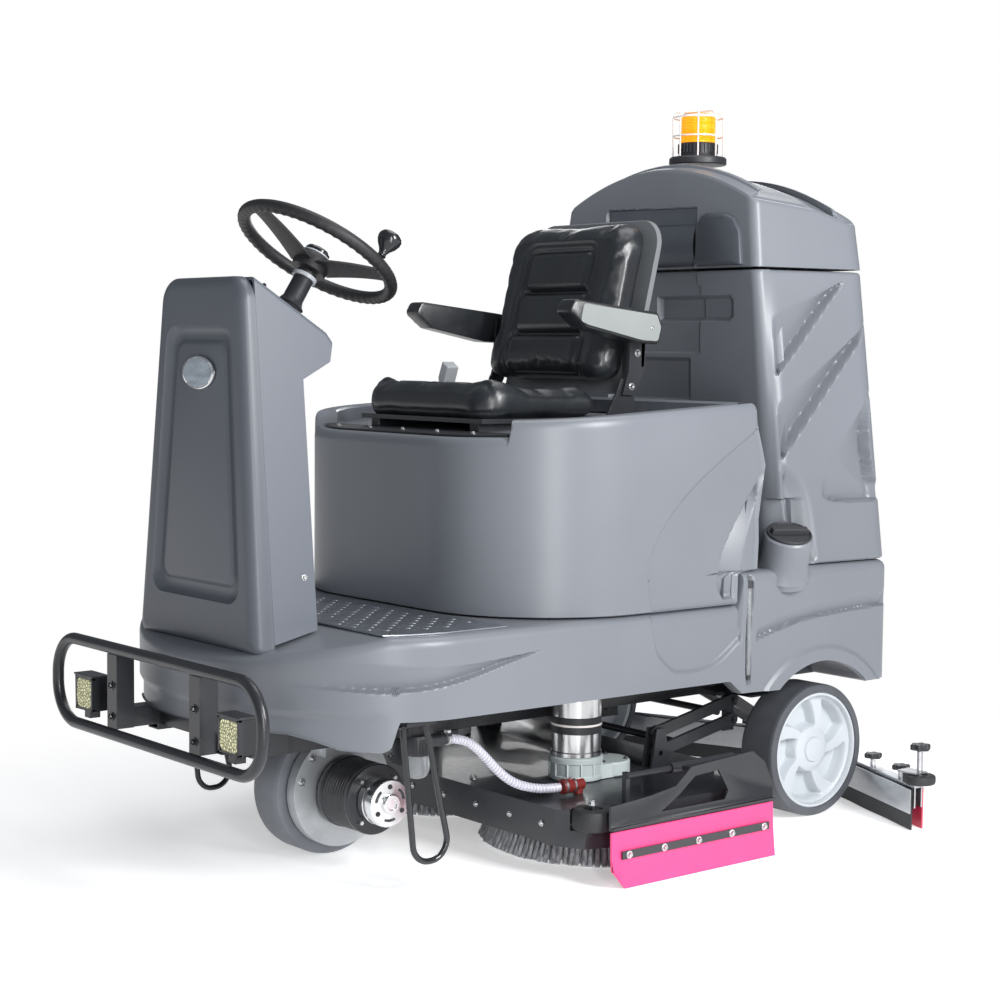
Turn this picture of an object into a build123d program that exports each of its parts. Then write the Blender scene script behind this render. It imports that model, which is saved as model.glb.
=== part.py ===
from build123d import *
import math
import os

# A ride-on floor scrubber. Millimetres, +Z up, front towards -Y, driver's left towards +X.
# The origin is on the floor, under the middle of the machine's box.

# --- Driving dimensions ---
HALF_LENGTH = 914.0            # bumper front to rear blade
BODY_HALF_WIDTH = 460.0
BODY_FRONT_CENTRE_Y = -506.0   # the nose of the body is half an ellipse about this point
BODY_NOSE = 340.0
BODY_REAR_Y = 756.0
BODY_WALL = 10.0
PLATFORM_Z = 506.0
BODY_REAR_TOP_Z = 575.0
STEP_UP_Y = 262.0              # where the body rises from platform to rear height
ARCH_CENTRE = (518.0, 148.0)   # rear wheel arch, y and z
ARCH_R = 214.0
WHEEL_Y = 554.0                # rear axle
REAR_WHEEL_R = 150.0
REAR_WHEEL_INNER_X = 327.0
REAR_WHEEL_OUTER_X = 422.0
REAR_AXLE_R = 12.5
DRIVE_Y = -506.0               # steering axis
DRIVE_WHEEL_R = 142.0
DRIVE_WHEEL_HALF = 44.0
DRIVE_AXLE_R = 16.0
SPINDLE_R = 25.0
RUNNING_GAP = 0.06             # radial clearance of shafts in bores
POD_FRONT_Y = -813.0
POD_SPLIT_Y = -766.0           # joint between front cover and column shell
POD_HALF_WIDTH = 230.0
POD_TOP_HALF_WIDTH = 150.0
POD_TOP_Z = 1181.0
STEER_CENTRE = (0.0, -519.0, 1238.0)
STEER_TILT = 32.0              # degrees from vertical, leaning to the driver
STEER_RIM_R = 166.0
STEER_TUBE_R = 14.0
SPINNER_ANGLE = 15.0           # place of the spinner knob around the rim
HORN_STEM_R = 10.0
PANEL_MIDDLE = (-707.0, 1143.6)  # middle of the sloping dash, y and z
STOP_STEM_R = 8.0
KEY_BARREL_R = 9.0
HOOD_FRONT_Y = -356.0
HOOD_CORNER_R = 300.0
HOOD_WALL = 5.0
HOOD_HINGE_X = -468.0
HOOD_HINGE_Z = 520.0
HOOD_PIN_R = 3.0
HOOD_HINGE_STARTS = (-20, 170)  # behind the rounded corner, on the flat of the side
TANK_FRONT_Y = 424.0
TANK_BASE_Z = 577.0
TANK_TOP_Z = 1228.0
TANK_WALL = 8.0
LID_GAP = 4.0
LID_CROWN_R = 628.0
LID_TOP_Z = 1484.0
LID_HINGE = (757.0, 1232.0)    # y and z
LID_HINGE_STARTS = (-150, 110)
LID_PIN_R = 5.0
BEACON_Y = 564.0
CAGE_R = 59.0
CAGE_WIRE_R = 2.0
BRUSH_X = 275.0
BRUSH_Y = 40.0
BRUSH_R = 270.0
BRUSH_SHAFT_R = 14.0
MOTOR_Y = -42.0                # brush motors, ahead of the brushes' axes
DECK_Z = 134.0
DECK_T = 6.0
DECK_SKIRT_Z = 66.0
ROLLER_PLACE = (525.0, -217.0)
ROLLER_POST_R = 7.0
LINK_FRONT_Y = 177.0
LINK_REAR_Y = 412.0
LINK_UPPER_Z = (214.0, 262.0)  # height of the upper link at its front and rear pins
LINK_DROP = 44.0               # the lower link lies this far below
LINK_HALF_HEIGHT = 13.0
LINK_PIN_R = 6.0
UPPER_TIE = (195.0, 16.0)      # cross tube: along its link from the front pin, and below the link's line
LOWER_TIE = (70.0, 0.0)
GUARD_X = 600.0
GUARD_PIVOT = (548.0, 205.0)
GUARD_ROD_R = 6.0
SQUEEGEE_HALF = 650.0
SQUEEGEE_SLOPE = 0.4035        # how fast the wings come forward
SQUEEGEE_END = (645.0, 640.0)  # axis of the end roller
ARM_PIVOT = (560.0, 262.0)     # ahead of the wing tips, so that the whole squeegee rises
ARM_PIN_R = 8.0
STUB_Y = 886.0                 # suction stub on the squeegee
HOSE_SOCKET_R = 25.0           # for the cuff of the vacuum hose
SEAT_Y = -106.0                # middle of the cushion
RECLINE_PIVOT = (130.0, 965.0)
ARMREST_PIVOT = (158.0, 1092.0)
SEAT_PIN_R = 8.0               # recline and armrest pins
BUMPER_Y = -902.0
BUMPER_TUBE_R = 12.0
HOSE_R = 10.0

# Points of the solution hose between the filter and the deck fitting, each a place it bends.
HOSE_ROUTE = [
    (352, -452, 284), (353, -418, 281), (354, -384, 264), (356, -352, 234), (361, -322, 201),
    (368, -290, 177), (376, -256, 165), (385, -222, 159), (394, -190, 160),
]

nodes = {}


def add(name, *solids):
    """Keeps the solids of one named sub-part."""
    nodes.setdefault(name, []).extend(solids)


# --- Small shape helpers ---
def block(x0, x1, y0, y1, z0, z1):
    """Box between two corners."""
    centre = Pos((x0 + x1) / 2, (y0 + y1) / 2, (z0 + z1) / 2)
    return centre * Box(x1 - x0, y1 - y0, z1 - z0)


def rod(start, end, radius):
    """Round bar between two points."""
    along = Vector(*end) - Vector(*start)
    base = Plane(origin=start, z_dir=along)
    return base * Cylinder(radius, along.length, align=(Align.CENTER, Align.CENTER, Align.MIN))


def pipe(start, end, outer, inner):
    """Round tube between two points."""
    return rod(start, end, outer) - rod(start, end, inner)


def outline_face(points):
    """Face of a closed outline, turned so that its normal is the plane's own."""
    area = sum(a[0] * b[1] - b[0] * a[1] for a, b in zip(points, points[1:] + points[:1]))
    return Polygon(*(points if area > 0 else points[::-1]), align=None)


def side_plate(points, x0, x1):
    """Outline in Y and Z, extruded across from x0 to x1."""
    return extrude(Plane.YZ.offset(x0) * outline_face(points), x1 - x0)


def plan_plate(points, z0, z1):
    """Outline in X and Y, extruded up from z0 to z1."""
    return extrude(Plane.XY.offset(z0) * outline_face(points), z1 - z0)


def front_plate(points, y0, y1):
    """Outline in X and Z, extruded back from y0 to y1."""
    return extrude(Plane.XZ.offset(-y1) * outline_face(points), y1 - y0)


def flip(shape):
    """The same shape on the other side of the machine."""
    return mirror(shape, about=Plane.YZ)


def both(shape):
    return [shape, flip(shape)]


def bent_rod(points, bend, radius, close=False):
    """Round bar along straight runs with rounded corners."""
    path = FilletPolyline(*points, radius=bend, close=close)
    return sweep(Plane(origin=path @ 0, z_dir=path % 0) * Circle(radius), path=path)


def slant_box(section_low, section_high, z_low, z_high):
    """Loft between two four-sided plans, each (front y, rear y, front half width, rear half width)."""
    faces = []
    for (front, rear, half_front, half_rear), z in ((section_low, z_low), (section_high, z_high)):
        corners = [(-half_front, front), (half_front, front), (half_rear, rear), (-half_rear, rear)]
        faces.append(Plane.XY.offset(z) * outline_face(corners))
    return loft(faces)


# --- Body and platform ---
NECK_FOOT = Vector(432, 418, 566)
NECK_MOUTH = Vector(464, 401, 650)
NECK_LENGTH = (NECK_MOUTH - NECK_FOOT).length
NECK_AXIS = (NECK_MOUTH - NECK_FOOT).normalized()


def neck_rod(z0, z1, radius):
    """Round bar along the leaning filler neck, measured from its foot."""
    return rod(tuple(NECK_FOOT + NECK_AXIS * z0), tuple(NECK_FOOT + NECK_AXIS * z1), radius)


def nose_plan(inset, z0, z1):
    """Plan of the body: straight sides, an elliptic nose and a square tail."""
    half = BODY_HALF_WIDTH - inset
    ellipse = Pos(0, BODY_FRONT_CENTRE_Y) * Ellipse(half, BODY_NOSE - inset)
    length = BODY_REAR_Y - inset - BODY_FRONT_CENTRE_Y
    tail = Pos(0, BODY_FRONT_CENTRE_Y + length / 2) * Rectangle(2 * half, length)
    return extrude(Plane.XY.offset(z0) * (ellipse + tail), z1 - z0)


# Side outline of the body: nose top, platform, step up, tail, sill and front fender.
BODY_SIDE = [
    (-860, 455), (-640, PLATFORM_Z), (STEP_UP_Y, PLATFORM_Z), (STEP_UP_Y, BODY_REAR_TOP_Z),
    (800, BODY_REAR_TOP_Z), (800, 300), (270, 313), (230, 343), (-619, 346), (-637, 289),
    (-700, 292), (-760, 318), (-860, 315),
]


def make_lower_body():
    half = BODY_HALF_WIDTH
    shell = nose_plan(0, 250, 600) & side_plate(BODY_SIDE, -half, half)
    ceiling, step = PLATFORM_Z - BODY_WALL, STEP_UP_Y - BODY_WALL
    room_side = [(-860, 455 - BODY_WALL), (-640, ceiling), (step, ceiling), (step, 200), (-860, 200)]
    shell -= nose_plan(BODY_WALL, 200, 600) & side_plate(room_side, -half, half)
    for side in (-1, 1):
        low, high = sorted((side * 300, side * 470))
        shell -= rod((low, *ARCH_CENTRE), (high, *ARCH_CENTRE), ARCH_R)
    shell -= block(-280, 280, STEP_UP_Y + BODY_WALL, 744, 355, 563)
    shell -= block(-448, 448, STEP_UP_Y + BODY_WALL, 744, 440, 563)
    shell -= block(-300, 300, 200, 760, 200, 345)
    shell -= block(-330, 330, -300, 110, 480, 520)
    shell -= rod((0, -640, 400), (0, -640, 520), 60)
    bore = neck_rod(-30, NECK_LENGTH + 5, 40)
    neck = neck_rod(-10, NECK_LENGTH, 48) - bore
    neck -= block(380, 520, 330, 480, 500, BODY_REAR_TOP_Z)
    shell = (shell - bore) + neck
    shell -= block(450, 470, 283, 296, 335, 560)
    return shell


def make_floor_plate():
    outline = nose_plan(26, PLATFORM_Z + 0.5, PLATFORM_Z + 3.5)
    outline &= block(-434, 434, -636, -366, 500, 520)
    return outline - hood_solid(-6, 500, 560)


# --- Control pod ---
def pod_profile(inset):
    """Side outline of the pod: leaning front, crest, nose towards the driver, straight back."""
    return [
        (POD_FRONT_Y + inset, 440), (POD_FRONT_Y + inset, 474), (-799 + inset, 1150 - inset),
        (-782, POD_TOP_Z - inset), (-762, 1179 - inset), (-604 - inset, 1076 - inset), (-592 - inset, 1060),
        (-601 - inset, 1018 + inset), (-666 - inset, 984 + inset), (-666 - inset, 440),
    ]


def pod_solid(inset):
    body = side_plate(pod_profile(inset), -260, 260)
    wide = POD_HALF_WIDTH - inset
    narrow = POD_TOP_HALF_WIDTH - inset
    face = front_plate([(-wide, 430), (wide, 430), (narrow, 1190), (-narrow, 1190)], -900, -560)
    floor = PLATFORM_Z + 1
    base = side_plate([(-900, 400), (-900, 450), (-640, floor), (-500, floor), (-500, 400)], -300, 300)
    return (body & face) - base


def make_front_cover():
    shell = (pod_solid(0) - pod_solid(18)) & block(-260, 260, -900, POD_SPLIT_Y, 400, 1200)
    pocket = front_plate([(-165, 560), (165, 560), (115, 1075), (-115, 1075)], -840, -799)
    return shell - pocket


def make_column_shell():
    shell = (pod_solid(0) - pod_solid(6)) & block(-260, 260, POD_SPLIT_Y + 1, -500, 400, 1200)
    shell -= steer_rod(-240, -60, 32)
    dash_window = side_plate([(-745, 1120), (-745, 1200), (-670, 1200), (-670, 1080)], -112, 112)
    return shell - (block(-112, 112, -742, -672, 1000, 1200) & dash_window)


DASH_NORMAL = Vector(0, 45, 68).normalized()


def dash_point(x):
    """Point of the dash panel's upper face, x from its middle."""
    return Vector(x, *PANEL_MIDDLE)


def dash_rod(x, z0, z1, radius):
    """Round bar square to the dash panel, measured up from its face."""
    foot = dash_point(x)
    return rod(tuple(foot + DASH_NORMAL * z0), tuple(foot + DASH_NORMAL * z1), radius)


def make_dash_panel():
    top = [(-741, 1166), (-741, 1160), (-673, 1115), (-673, 1121)]
    panel = side_plate(top, -110, 110)
    panel -= dash_rod(-70, -30, 30, STOP_STEM_R + RUNNING_GAP)
    return panel - dash_rod(70, -30, 30, KEY_BARREL_R + RUNNING_GAP)


STEER_AXIS = Vector(0, math.sin(math.radians(STEER_TILT)), math.cos(math.radians(STEER_TILT)))
STEER_PLANE = Plane(origin=STEER_CENTRE, x_dir=(1, 0, 0), z_dir=STEER_AXIS)


def steer_rod(z0, z1, radius):
    """Round bar on the steering axis, measured from the middle of the wheel."""
    middle = Vector(*STEER_CENTRE)
    return rod(tuple(middle + STEER_AXIS * z0), tuple(middle + STEER_AXIS * z1), radius)


def make_steering_column():
    return steer_rod(-250, -46, 21) + steer_rod(-172, -128, 29)


def make_steering_wheel():
    rim = STEER_PLANE * Torus(STEER_RIM_R, STEER_TUBE_R)
    hub = steer_rod(-44, -8, 36)
    wheel = rim + hub
    for angle in (-90, 30, 150):
        bar = Rot(0, -6, 0) * Box(STEER_RIM_R - 20, 26, 6)
        spoke = Rot(0, 0, angle) * Pos(STEER_RIM_R / 2 + 8, 0, -16) * bar
        wheel += STEER_PLANE * spoke
    return wheel - steer_rod(-34, 0, HORN_STEM_R + RUNNING_GAP)


def make_horn_cap():
    return steer_rod(-4, 9, 26) + steer_rod(-26, -4, HORN_STEM_R)


def make_spinner_knob():
    angle = math.radians(SPINNER_ANGLE)
    foot = Vector(*STEER_CENTRE) + Vector(1, 0, 0) * STEER_RIM_R * math.cos(angle)
    side = STEER_AXIS.cross(Vector(1, 0, 0))
    foot = foot + side * STEER_RIM_R * math.sin(angle)
    low = foot + STEER_AXIS * (STEER_TUBE_R + 1)
    stem = rod(tuple(low), tuple(low + STEER_AXIS * 24), 9)
    ball = Pos(*(low + STEER_AXIS * 34)) * Sphere(21)
    return stem + ball


# --- Chassis ---
def make_chassis_frame():
    solids = []
    rail = block(160, 200, -800, 700, 262, 322) - block(163, 197, -801, 701, 265, 319)
    solids += both(rail)
    frame = block(-160, 160, -790, -740, 272, 322)
    for y0 in (-300, 120, 380, 600):
        frame += block(-160, 160, y0, y0 + 40, 275, 322)
    solids.append(frame)
    head = block(-215, 215, -640, -372, 322, 332)
    head += pipe((0, DRIVE_Y, 322), (0, DRIVE_Y, 430), 45, SPINDLE_R + RUNNING_GAP)
    head -= rod((0, DRIVE_Y, 300), (0, DRIVE_Y, 440), SPINDLE_R + RUNNING_GAP)
    solids.append(head)
    solids += both(block(215, 425, -600, -530, 334, 342))
    tray = block(-322, 322, -300, 108, 430, 434)
    for x0 in (-200, 180):
        for y0 in (-290, -100, 88):
            tray += block(x0, x0 + 20, y0, y0 + 12, 322, 430)
    solids.append(tray)
    for side in (1, -1):
        holder = block(200, 292, WHEEL_Y - 40, WHEEL_Y + 40, 290, 322)
        holder += block(284, 292, WHEEL_Y - 40, WHEEL_Y + 40, 120, 322)
        holder += rod((270, WHEEL_Y, REAR_WHEEL_R), (402, WHEEL_Y, REAR_WHEEL_R), REAR_AXLE_R)
        solids.append(holder if side == 1 else flip(holder))
        hanger = block(200, 282, LINK_REAR_Y - 12, LINK_REAR_Y + 12, 290, 322)
        hanger += block(275, 282, LINK_REAR_Y - 16, LINK_REAR_Y + 16, 190, 322)
        for z in (LINK_UPPER_Z[1], LINK_UPPER_Z[1] - LINK_DROP):
            hanger += rod((282, LINK_REAR_Y, z), (304, LINK_REAR_Y, z), LINK_PIN_R)
        solids.append(hanger if side == 1 else flip(hanger))
    arm_bracket = block(-56, -48, 538, 600, 242, 322) + block(48, 56, 538, 600, 242, 322)
    arm_bracket += rod((-56, *ARM_PIVOT), (56, *ARM_PIVOT), ARM_PIN_R)
    solids.append(arm_bracket)
    for y in (-330.0, 470.0):
        solids += both(block(155, 205, y - 25, y + 25, 254, 262))
    return solids


def make_bumper_bar():
    low, high = 264, 440
    corners = [(-400, BUMPER_Y, low), (400, BUMPER_Y, low), (400, BUMPER_Y, high), (-400, BUMPER_Y, high)]
    loop = bent_rod(corners, 80, BUMPER_TUBE_R, close=True)
    solids = [loop]
    for side in (1, -1):
        post = block(142, 182, BUMPER_Y - 2, BUMPER_Y + 38, 277, 427)
        post -= block(146, 186, BUMPER_Y + 3, BUMPER_Y + 33, 270, 440)
        arm = block(152, 196, BUMPER_Y + 38, -800, 276, 316)
        heads = [rod((162, BUMPER_Y - 8, z), (162, BUMPER_Y - 2, z), 8) for z in (301, 364)]
        solids += [piece if side == 1 else flip(piece) for piece in (post, arm, *heads)]
    return solids


def make_work_lights():
    solids = []
    for x in (-283, 283):
        lamp = block(x - 36, x + 36, -904, -862, 296, 366) + block(x - 40, x + 40, -908, -866, 366, 370)
        solids.append(lamp + block(x - 12, x + 12, -896, -872, 279, 296))
    return solids


def make_step_loop():
    ends = [(400, -592, 332), (400, -562, 62), (400, -474, 62), (400, -538, 332)]
    return both(bent_rod(ends, 38, 6))


# --- Front drive ---
def make_steer_fork():
    axle = (DRIVE_Y, DRIVE_WHEEL_R)
    fork = block(-70, 92, DRIVE_Y - 70, DRIVE_Y + 70, 292, 304)
    fork += rod((0, DRIVE_Y, 304), (0, DRIVE_Y, 430), SPINDLE_R)
    fork += rod((50, *axle), (78, *axle), 118)
    fork += block(56, 92, DRIVE_Y - 52, DRIVE_Y + 52, 216, 292)
    fork += block(56, 78, DRIVE_Y - 52, DRIVE_Y + 52, 190, 292)
    fork += rod((-30, *axle), (50, *axle), DRIVE_AXLE_R)
    return fork


def make_drive_motor():
    axle = (DRIVE_Y, DRIVE_WHEEL_R)
    motor = rod((92, *axle), (196, *axle), 72) + rod((78, *axle), (92, *axle), 60)
    brake = rod((197, *axle), (244, *axle), 48) + rod((244, *axle), (252, *axle), 20)
    return [motor, brake]


def make_drive_wheel():
    axle = (DRIVE_Y, DRIVE_WHEEL_R)
    tyre = pipe((-DRIVE_WHEEL_HALF, *axle), (DRIVE_WHEEL_HALF, *axle), DRIVE_WHEEL_R, 112.2)
    hub = rod((-38, *axle), (38, *axle), 112) - rod((-60, *axle), (60, *axle), DRIVE_AXLE_R + RUNNING_GAP)
    hub -= pipe((10, *axle), (60, *axle), 98, 34)
    return [fillet(tyre.edges().filter_by(GeomType.CIRCLE).group_by(SortBy.RADIUS)[-1], 8), hub]


# --- Rear wheels ---
def make_rear_wheel():
    axle = (WHEEL_Y, REAR_WHEEL_R)
    inner, outer = REAR_WHEEL_INNER_X, REAR_WHEEL_OUTER_X
    tyre = pipe((inner, *axle), (outer, *axle), REAR_WHEEL_R, 131.2)
    tyre = fillet(tyre.edges().filter_by(GeomType.CIRCLE).group_by(SortBy.RADIUS)[-1], 5)
    rim = pipe((inner + 4, *axle), (outer - 3, *axle), 131, 122)
    rim += rod((inner + 34, *axle), (outer - 20, *axle), 123)
    rim += rod((inner + 10, *axle), (outer - 8, *axle), 26)
    rim -= rod((inner - 20, *axle), (404, *axle), REAR_AXLE_R + RUNNING_GAP)
    return [tyre, rim]


# --- Scrub deck ---
def link_pair(drop, tie):
    """Two side bars and the tube that joins them part of the way along."""
    front = Vector(0, LINK_FRONT_Y, LINK_UPPER_Z[0] - drop)
    rear = Vector(0, LINK_REAR_Y, LINK_UPPER_Z[1] - drop)
    along = (rear - front).normalized()
    up = Vector(1, 0, 0).cross(along)
    lift = up * LINK_HALF_HEIGHT
    outline = [(p.Y, p.Z) for p in (front - lift, rear - lift, rear + lift, front + lift)]
    middle = front + along * tie[0] - up * tie[1]
    pair = rod((-287, middle.Y, middle.Z), (287, middle.Y, middle.Z), 8)
    for x0 in (286, -296):
        bar = side_plate(outline, x0, x0 + 10)
        for end in (front, rear):
            bar += rod((x0, end.Y, end.Z), (x0 + 10, end.Y, end.Z), 15)
        for end in (front, rear):
            bar -= rod((x0 - 5, end.Y, end.Z), (x0 + 15, end.Y, end.Z), LINK_PIN_R + RUNNING_GAP)
        pair += bar
    return pair


def deck_plan(inset_side, inset_front, inset_rear, z0, z1):
    """The deck's eight-sided plan between two heights, each of its sides moved in."""
    half, front, rear = 548 - inset_side, -268 + inset_front, 312 - inset_rear
    right = [(half - 78, front), (half - 20, front + 28), (half, front + 88), (half, rear - 50), (half - 48, rear)]
    return plan_plate(right + [(-x, y) for x, y in right[::-1]], z0, z1)


def make_deck_plate():
    plate = deck_plan(0, 0, 0, DECK_Z, DECK_Z + DECK_T)
    skirt = deck_plan(0, 0, 0, DECK_SKIRT_Z, DECK_Z) - deck_plan(6.5, 6.5, 6.5, DECK_SKIRT_Z - 6, DECK_Z)
    plate += skirt - block(-600, 600, 290, 330, DECK_SKIRT_Z - 6, DECK_Z)
    for side in (1, -1):
        plate -= rod((side * BRUSH_X, BRUSH_Y, 120), (side * BRUSH_X, BRUSH_Y, 150), 24)
        link_ears = rod((274, LINK_FRONT_Y, LINK_UPPER_Z[0]), (307, LINK_FRONT_Y, LINK_UPPER_Z[0]), LINK_PIN_R)
        lower_z = LINK_UPPER_Z[0] - LINK_DROP
        for x0 in (274, 300):
            ear = side_plate([(150, 140), (204, 140), (190, 224), (164, 224)], x0, x0 + 7)
            link_ears += ear - rod((x0 - 2, LINK_FRONT_Y, lower_z), (x0 + 9, LINK_FRONT_Y, lower_z), LINK_PIN_R)
        plate += link_ears if side == 1 else flip(link_ears)
        roller_x, roller_y = side * ROLLER_PLACE[0], ROLLER_PLACE[1]
        plate -= rod((roller_x, roller_y, 101), (roller_x, roller_y, 150), 45)
        plate += rod((roller_x, roller_y, 100), (roller_x, roller_y, 152), ROLLER_POST_R)
        lug = block(470, 538, roller_y - 15, roller_y + 15, 94, 100)
        plate += lug if side == 1 else flip(lug)
        hinge = rod((GUARD_PIVOT[0], -150, GUARD_PIVOT[1]), (GUARD_PIVOT[0], 190, GUARD_PIVOT[1]), GUARD_ROD_R)
        for y0 in (-150, 180):
            hinge += block(536, 548, y0, y0 + 10, 140, 211)
        plate += hinge if side == 1 else flip(hinge)
    return plate


def make_brush_drives():
    drive = rod((BRUSH_X, MOTOR_Y, 190), (BRUSH_X, MOTOR_Y, 338), 54)
    drive += rod((BRUSH_X, MOTOR_Y, 141), (BRUSH_X, MOTOR_Y, 190), 58)
    drive += rod((BRUSH_X, BRUSH_Y, 141), (BRUSH_X, BRUSH_Y, 172), 55)
    drive += block(BRUSH_X - 50, BRUSH_X + 50, MOTOR_Y, BRUSH_Y, 141, 172)
    drive += rod((BRUSH_X, BRUSH_Y, 98), (BRUSH_X, BRUSH_Y, 141), BRUSH_SHAFT_R)
    return both(drive)


def make_brush(side):
    x = side * BRUSH_X
    block_ring = rod((x, BRUSH_Y, 58), (x, BRUSH_Y, 88), 250) + rod((x, BRUSH_Y, 88), (x, BRUSH_Y, 118), 60)
    block_ring -= rod((x, BRUSH_Y, 97), (x, BRUSH_Y, 120), BRUSH_SHAFT_R + RUNNING_GAP)
    bristles = Pos(x, BRUSH_Y, 29) * Cone(BRUSH_R, 246, 58) - rod((x, BRUSH_Y, -1), (x, BRUSH_Y, 59), 110)
    return [block_ring, bristles]


def make_deck_roller(side):
    x, y = side * ROLLER_PLACE[0], ROLLER_PLACE[1]
    roller = pipe((x, y, 103), (x, y, 145), 42, ROLLER_POST_R + RUNNING_GAP)
    return fillet(roller.edges().filter_by(GeomType.CIRCLE).group_by(SortBy.RADIUS)[-1], 8)


def make_guard_bracket():
    """Cut plate that hangs the side guard from the deck's hinge rod, with the strip that clamps the blade."""
    outline = [(-226, 118), (-226, 160), (-120, 168), (-50, 178), (-6, 212), (170, 222), (206, 196),
               (232, 146), (232, 118)]
    window = [(-90, 132), (-40, 160), (4, 192), (70, 196), (100, 150), (90, 132)]
    bracket = side_plate(outline, 582, 587) - side_plate(window, 570, 600)
    bracket += rod((GUARD_PIVOT[0], -30, GUARD_PIVOT[1]), (GUARD_PIVOT[0], 150, GUARD_PIVOT[1]), 11)
    bracket += block(556, 584, -6, 150, 201, 209)
    bore = rod((GUARD_PIVOT[0], -40, GUARD_PIVOT[1]), (GUARD_PIVOT[0], 160, GUARD_PIVOT[1]), GUARD_ROD_R + RUNNING_GAP)
    foot = block(582, 596, -226, 232, 112, 118)
    clamp_strip = block(GUARD_X + 4, GUARD_X + 8, -212, 202, 58, 74)
    return [bracket - bore + foot, clamp_strip]


def make_guard_blade():
    outline = [(GUARD_X - 4, 112), (GUARD_X - 3, 60), (GUARD_X + 4, 0),
               (GUARD_X + 10, 0), (GUARD_X + 3, 60), (GUARD_X + 1, 112)]
    return front_plate(outline, -236, 219)


def make_hose_fitting():
    fitting = rod((394, -186, 160), (394, -152, 160), 15) + rod((394, -152, 160), (394, -128, 160), 12)
    return fitting + rod((394, -140, 141), (394, -140, 160), 10)


def make_solution_hose():
    points = [Vector(*p) for p in HOSE_ROUTE]
    radii = []
    for before, here, after in zip(points, points[1:], points[2:]):
        turn = math.radians((here - before).get_angle(after - here))
        shorter = min((here - before).length, (after - here).length)
        radii.append(0.45 * shorter / math.tan(turn / 2))
    path = FilletPolyline(*points, radius=radii)
    return sweep(Plane(origin=path @ 0, z_dir=path % 0) * Circle(HOSE_R), path=path)


def make_solution_filter():
    head = rod((350, -520, 262), (350, -520, 302), 30) + rod((352, -520, 284), (352, -453.5, 284), 12)
    head += block(335, 365, -550, -490, 302, 334)
    bowl = rod((350, -520, 214), (350, -520, 261), 25)
    return [head, bowl]


# --- Squeegee ---
def vee(front_apex, rear_apex, half, z0, z1):
    """Swept-back bar across the machine: its wings come forward from the middle."""
    drop = SQUEEGEE_SLOPE * half
    outline = [(-half, front_apex - drop), (0, front_apex), (half, front_apex - drop),
               (half, rear_apex - drop), (0, rear_apex), (-half, rear_apex - drop)]
    return plan_plate(outline, z0, z1)


def make_squeegee_channel():
    channel = vee(879, 907, SQUEEGEE_HALF, 50, 100) - vee(884, 902, SQUEEGEE_HALF + 5, 40, 94)
    channel -= block(-18, 18, 884, 902, 93, 101)
    stub = pipe((0, STUB_Y, 100), (0, STUB_Y, 152), 30, HOSE_SOCKET_R)
    solids = [channel + stub]
    bracket = rod((*SQUEEGEE_END, 96), (*SQUEEGEE_END, 130), 6) + block(600, 652, 618, 658, 124, 128)
    bracket += block(600, 606, 630, 650, 98, 128)
    solids += both(bracket)
    return solids


def make_squeegee_star_nuts():
    solids = []
    for x in (455, 576):
        y = 893 - SQUEEGEE_SLOPE * x
        nut = rod((x, y, 101), (x, y, 118), 6)
        for angle in (0, 60, 120):
            nut += Pos(x, y, 124) * Rot(0, 0, angle) * Box(42, 12, 12)
        solids += both(nut)
    return solids


def make_squeegee_knob(side):
    x, y = side * SQUEEGEE_END[0], SQUEEGEE_END[1]
    knob = rod((x, y, 131), (x, y, 176), 7)
    for angle in (0, 60, 120):
        knob += Pos(x, y, 183) * Rot(0, 0, angle) * Box(46, 12, 14)
    return knob


def make_squeegee_blades():
    front = vee(872, 877, SQUEEGEE_HALF - 4, 2, 92)
    rear = vee(909, HALF_LENGTH, SQUEEGEE_HALF - 2, 0, 92)
    return [front, rear]


def make_squeegee_arm():
    pivot = ARM_PIVOT
    arm = rod((-44, *pivot), (44, *pivot), 18)
    bars = side_plate([(pivot[0] - 6, pivot[1] - 14), (838, 100), (862, 100), (862, 110), (848, 116),
                       (pivot[0] + 12, pivot[1] + 12)], -44, -34)
    arm += bars + flip(bars)
    arm -= rod((-50, *pivot), (50, *pivot), ARM_PIN_R + RUNNING_GAP)
    plate = block(-90, -34, 846, 862, 100, 109)
    return arm + plate + flip(plate)


def make_squeegee_roller(side):
    x, y = side * SQUEEGEE_END[0], SQUEEGEE_END[1]
    return pipe((x, y, 102), (x, y, 122), 35, 6 + RUNNING_GAP)


# --- Seat hood and seat ---
def hood_solid(inset, z0, z1):
    half = BODY_HALF_WIDTH - inset
    front = HOOD_FRONT_Y + inset
    rear = 345 - inset
    corner = HOOD_CORNER_R - inset
    plan = Pos(0, (front + rear) / 2) * Rectangle(2 * half, rear - front)
    bulk = extrude(Plane.XY.offset(z0) * plan, z1 - z0)
    edges = [e for e in bulk.edges().filter_by(Axis.Z) if e.center().Y < 0]
    return fillet(edges, corner)


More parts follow.
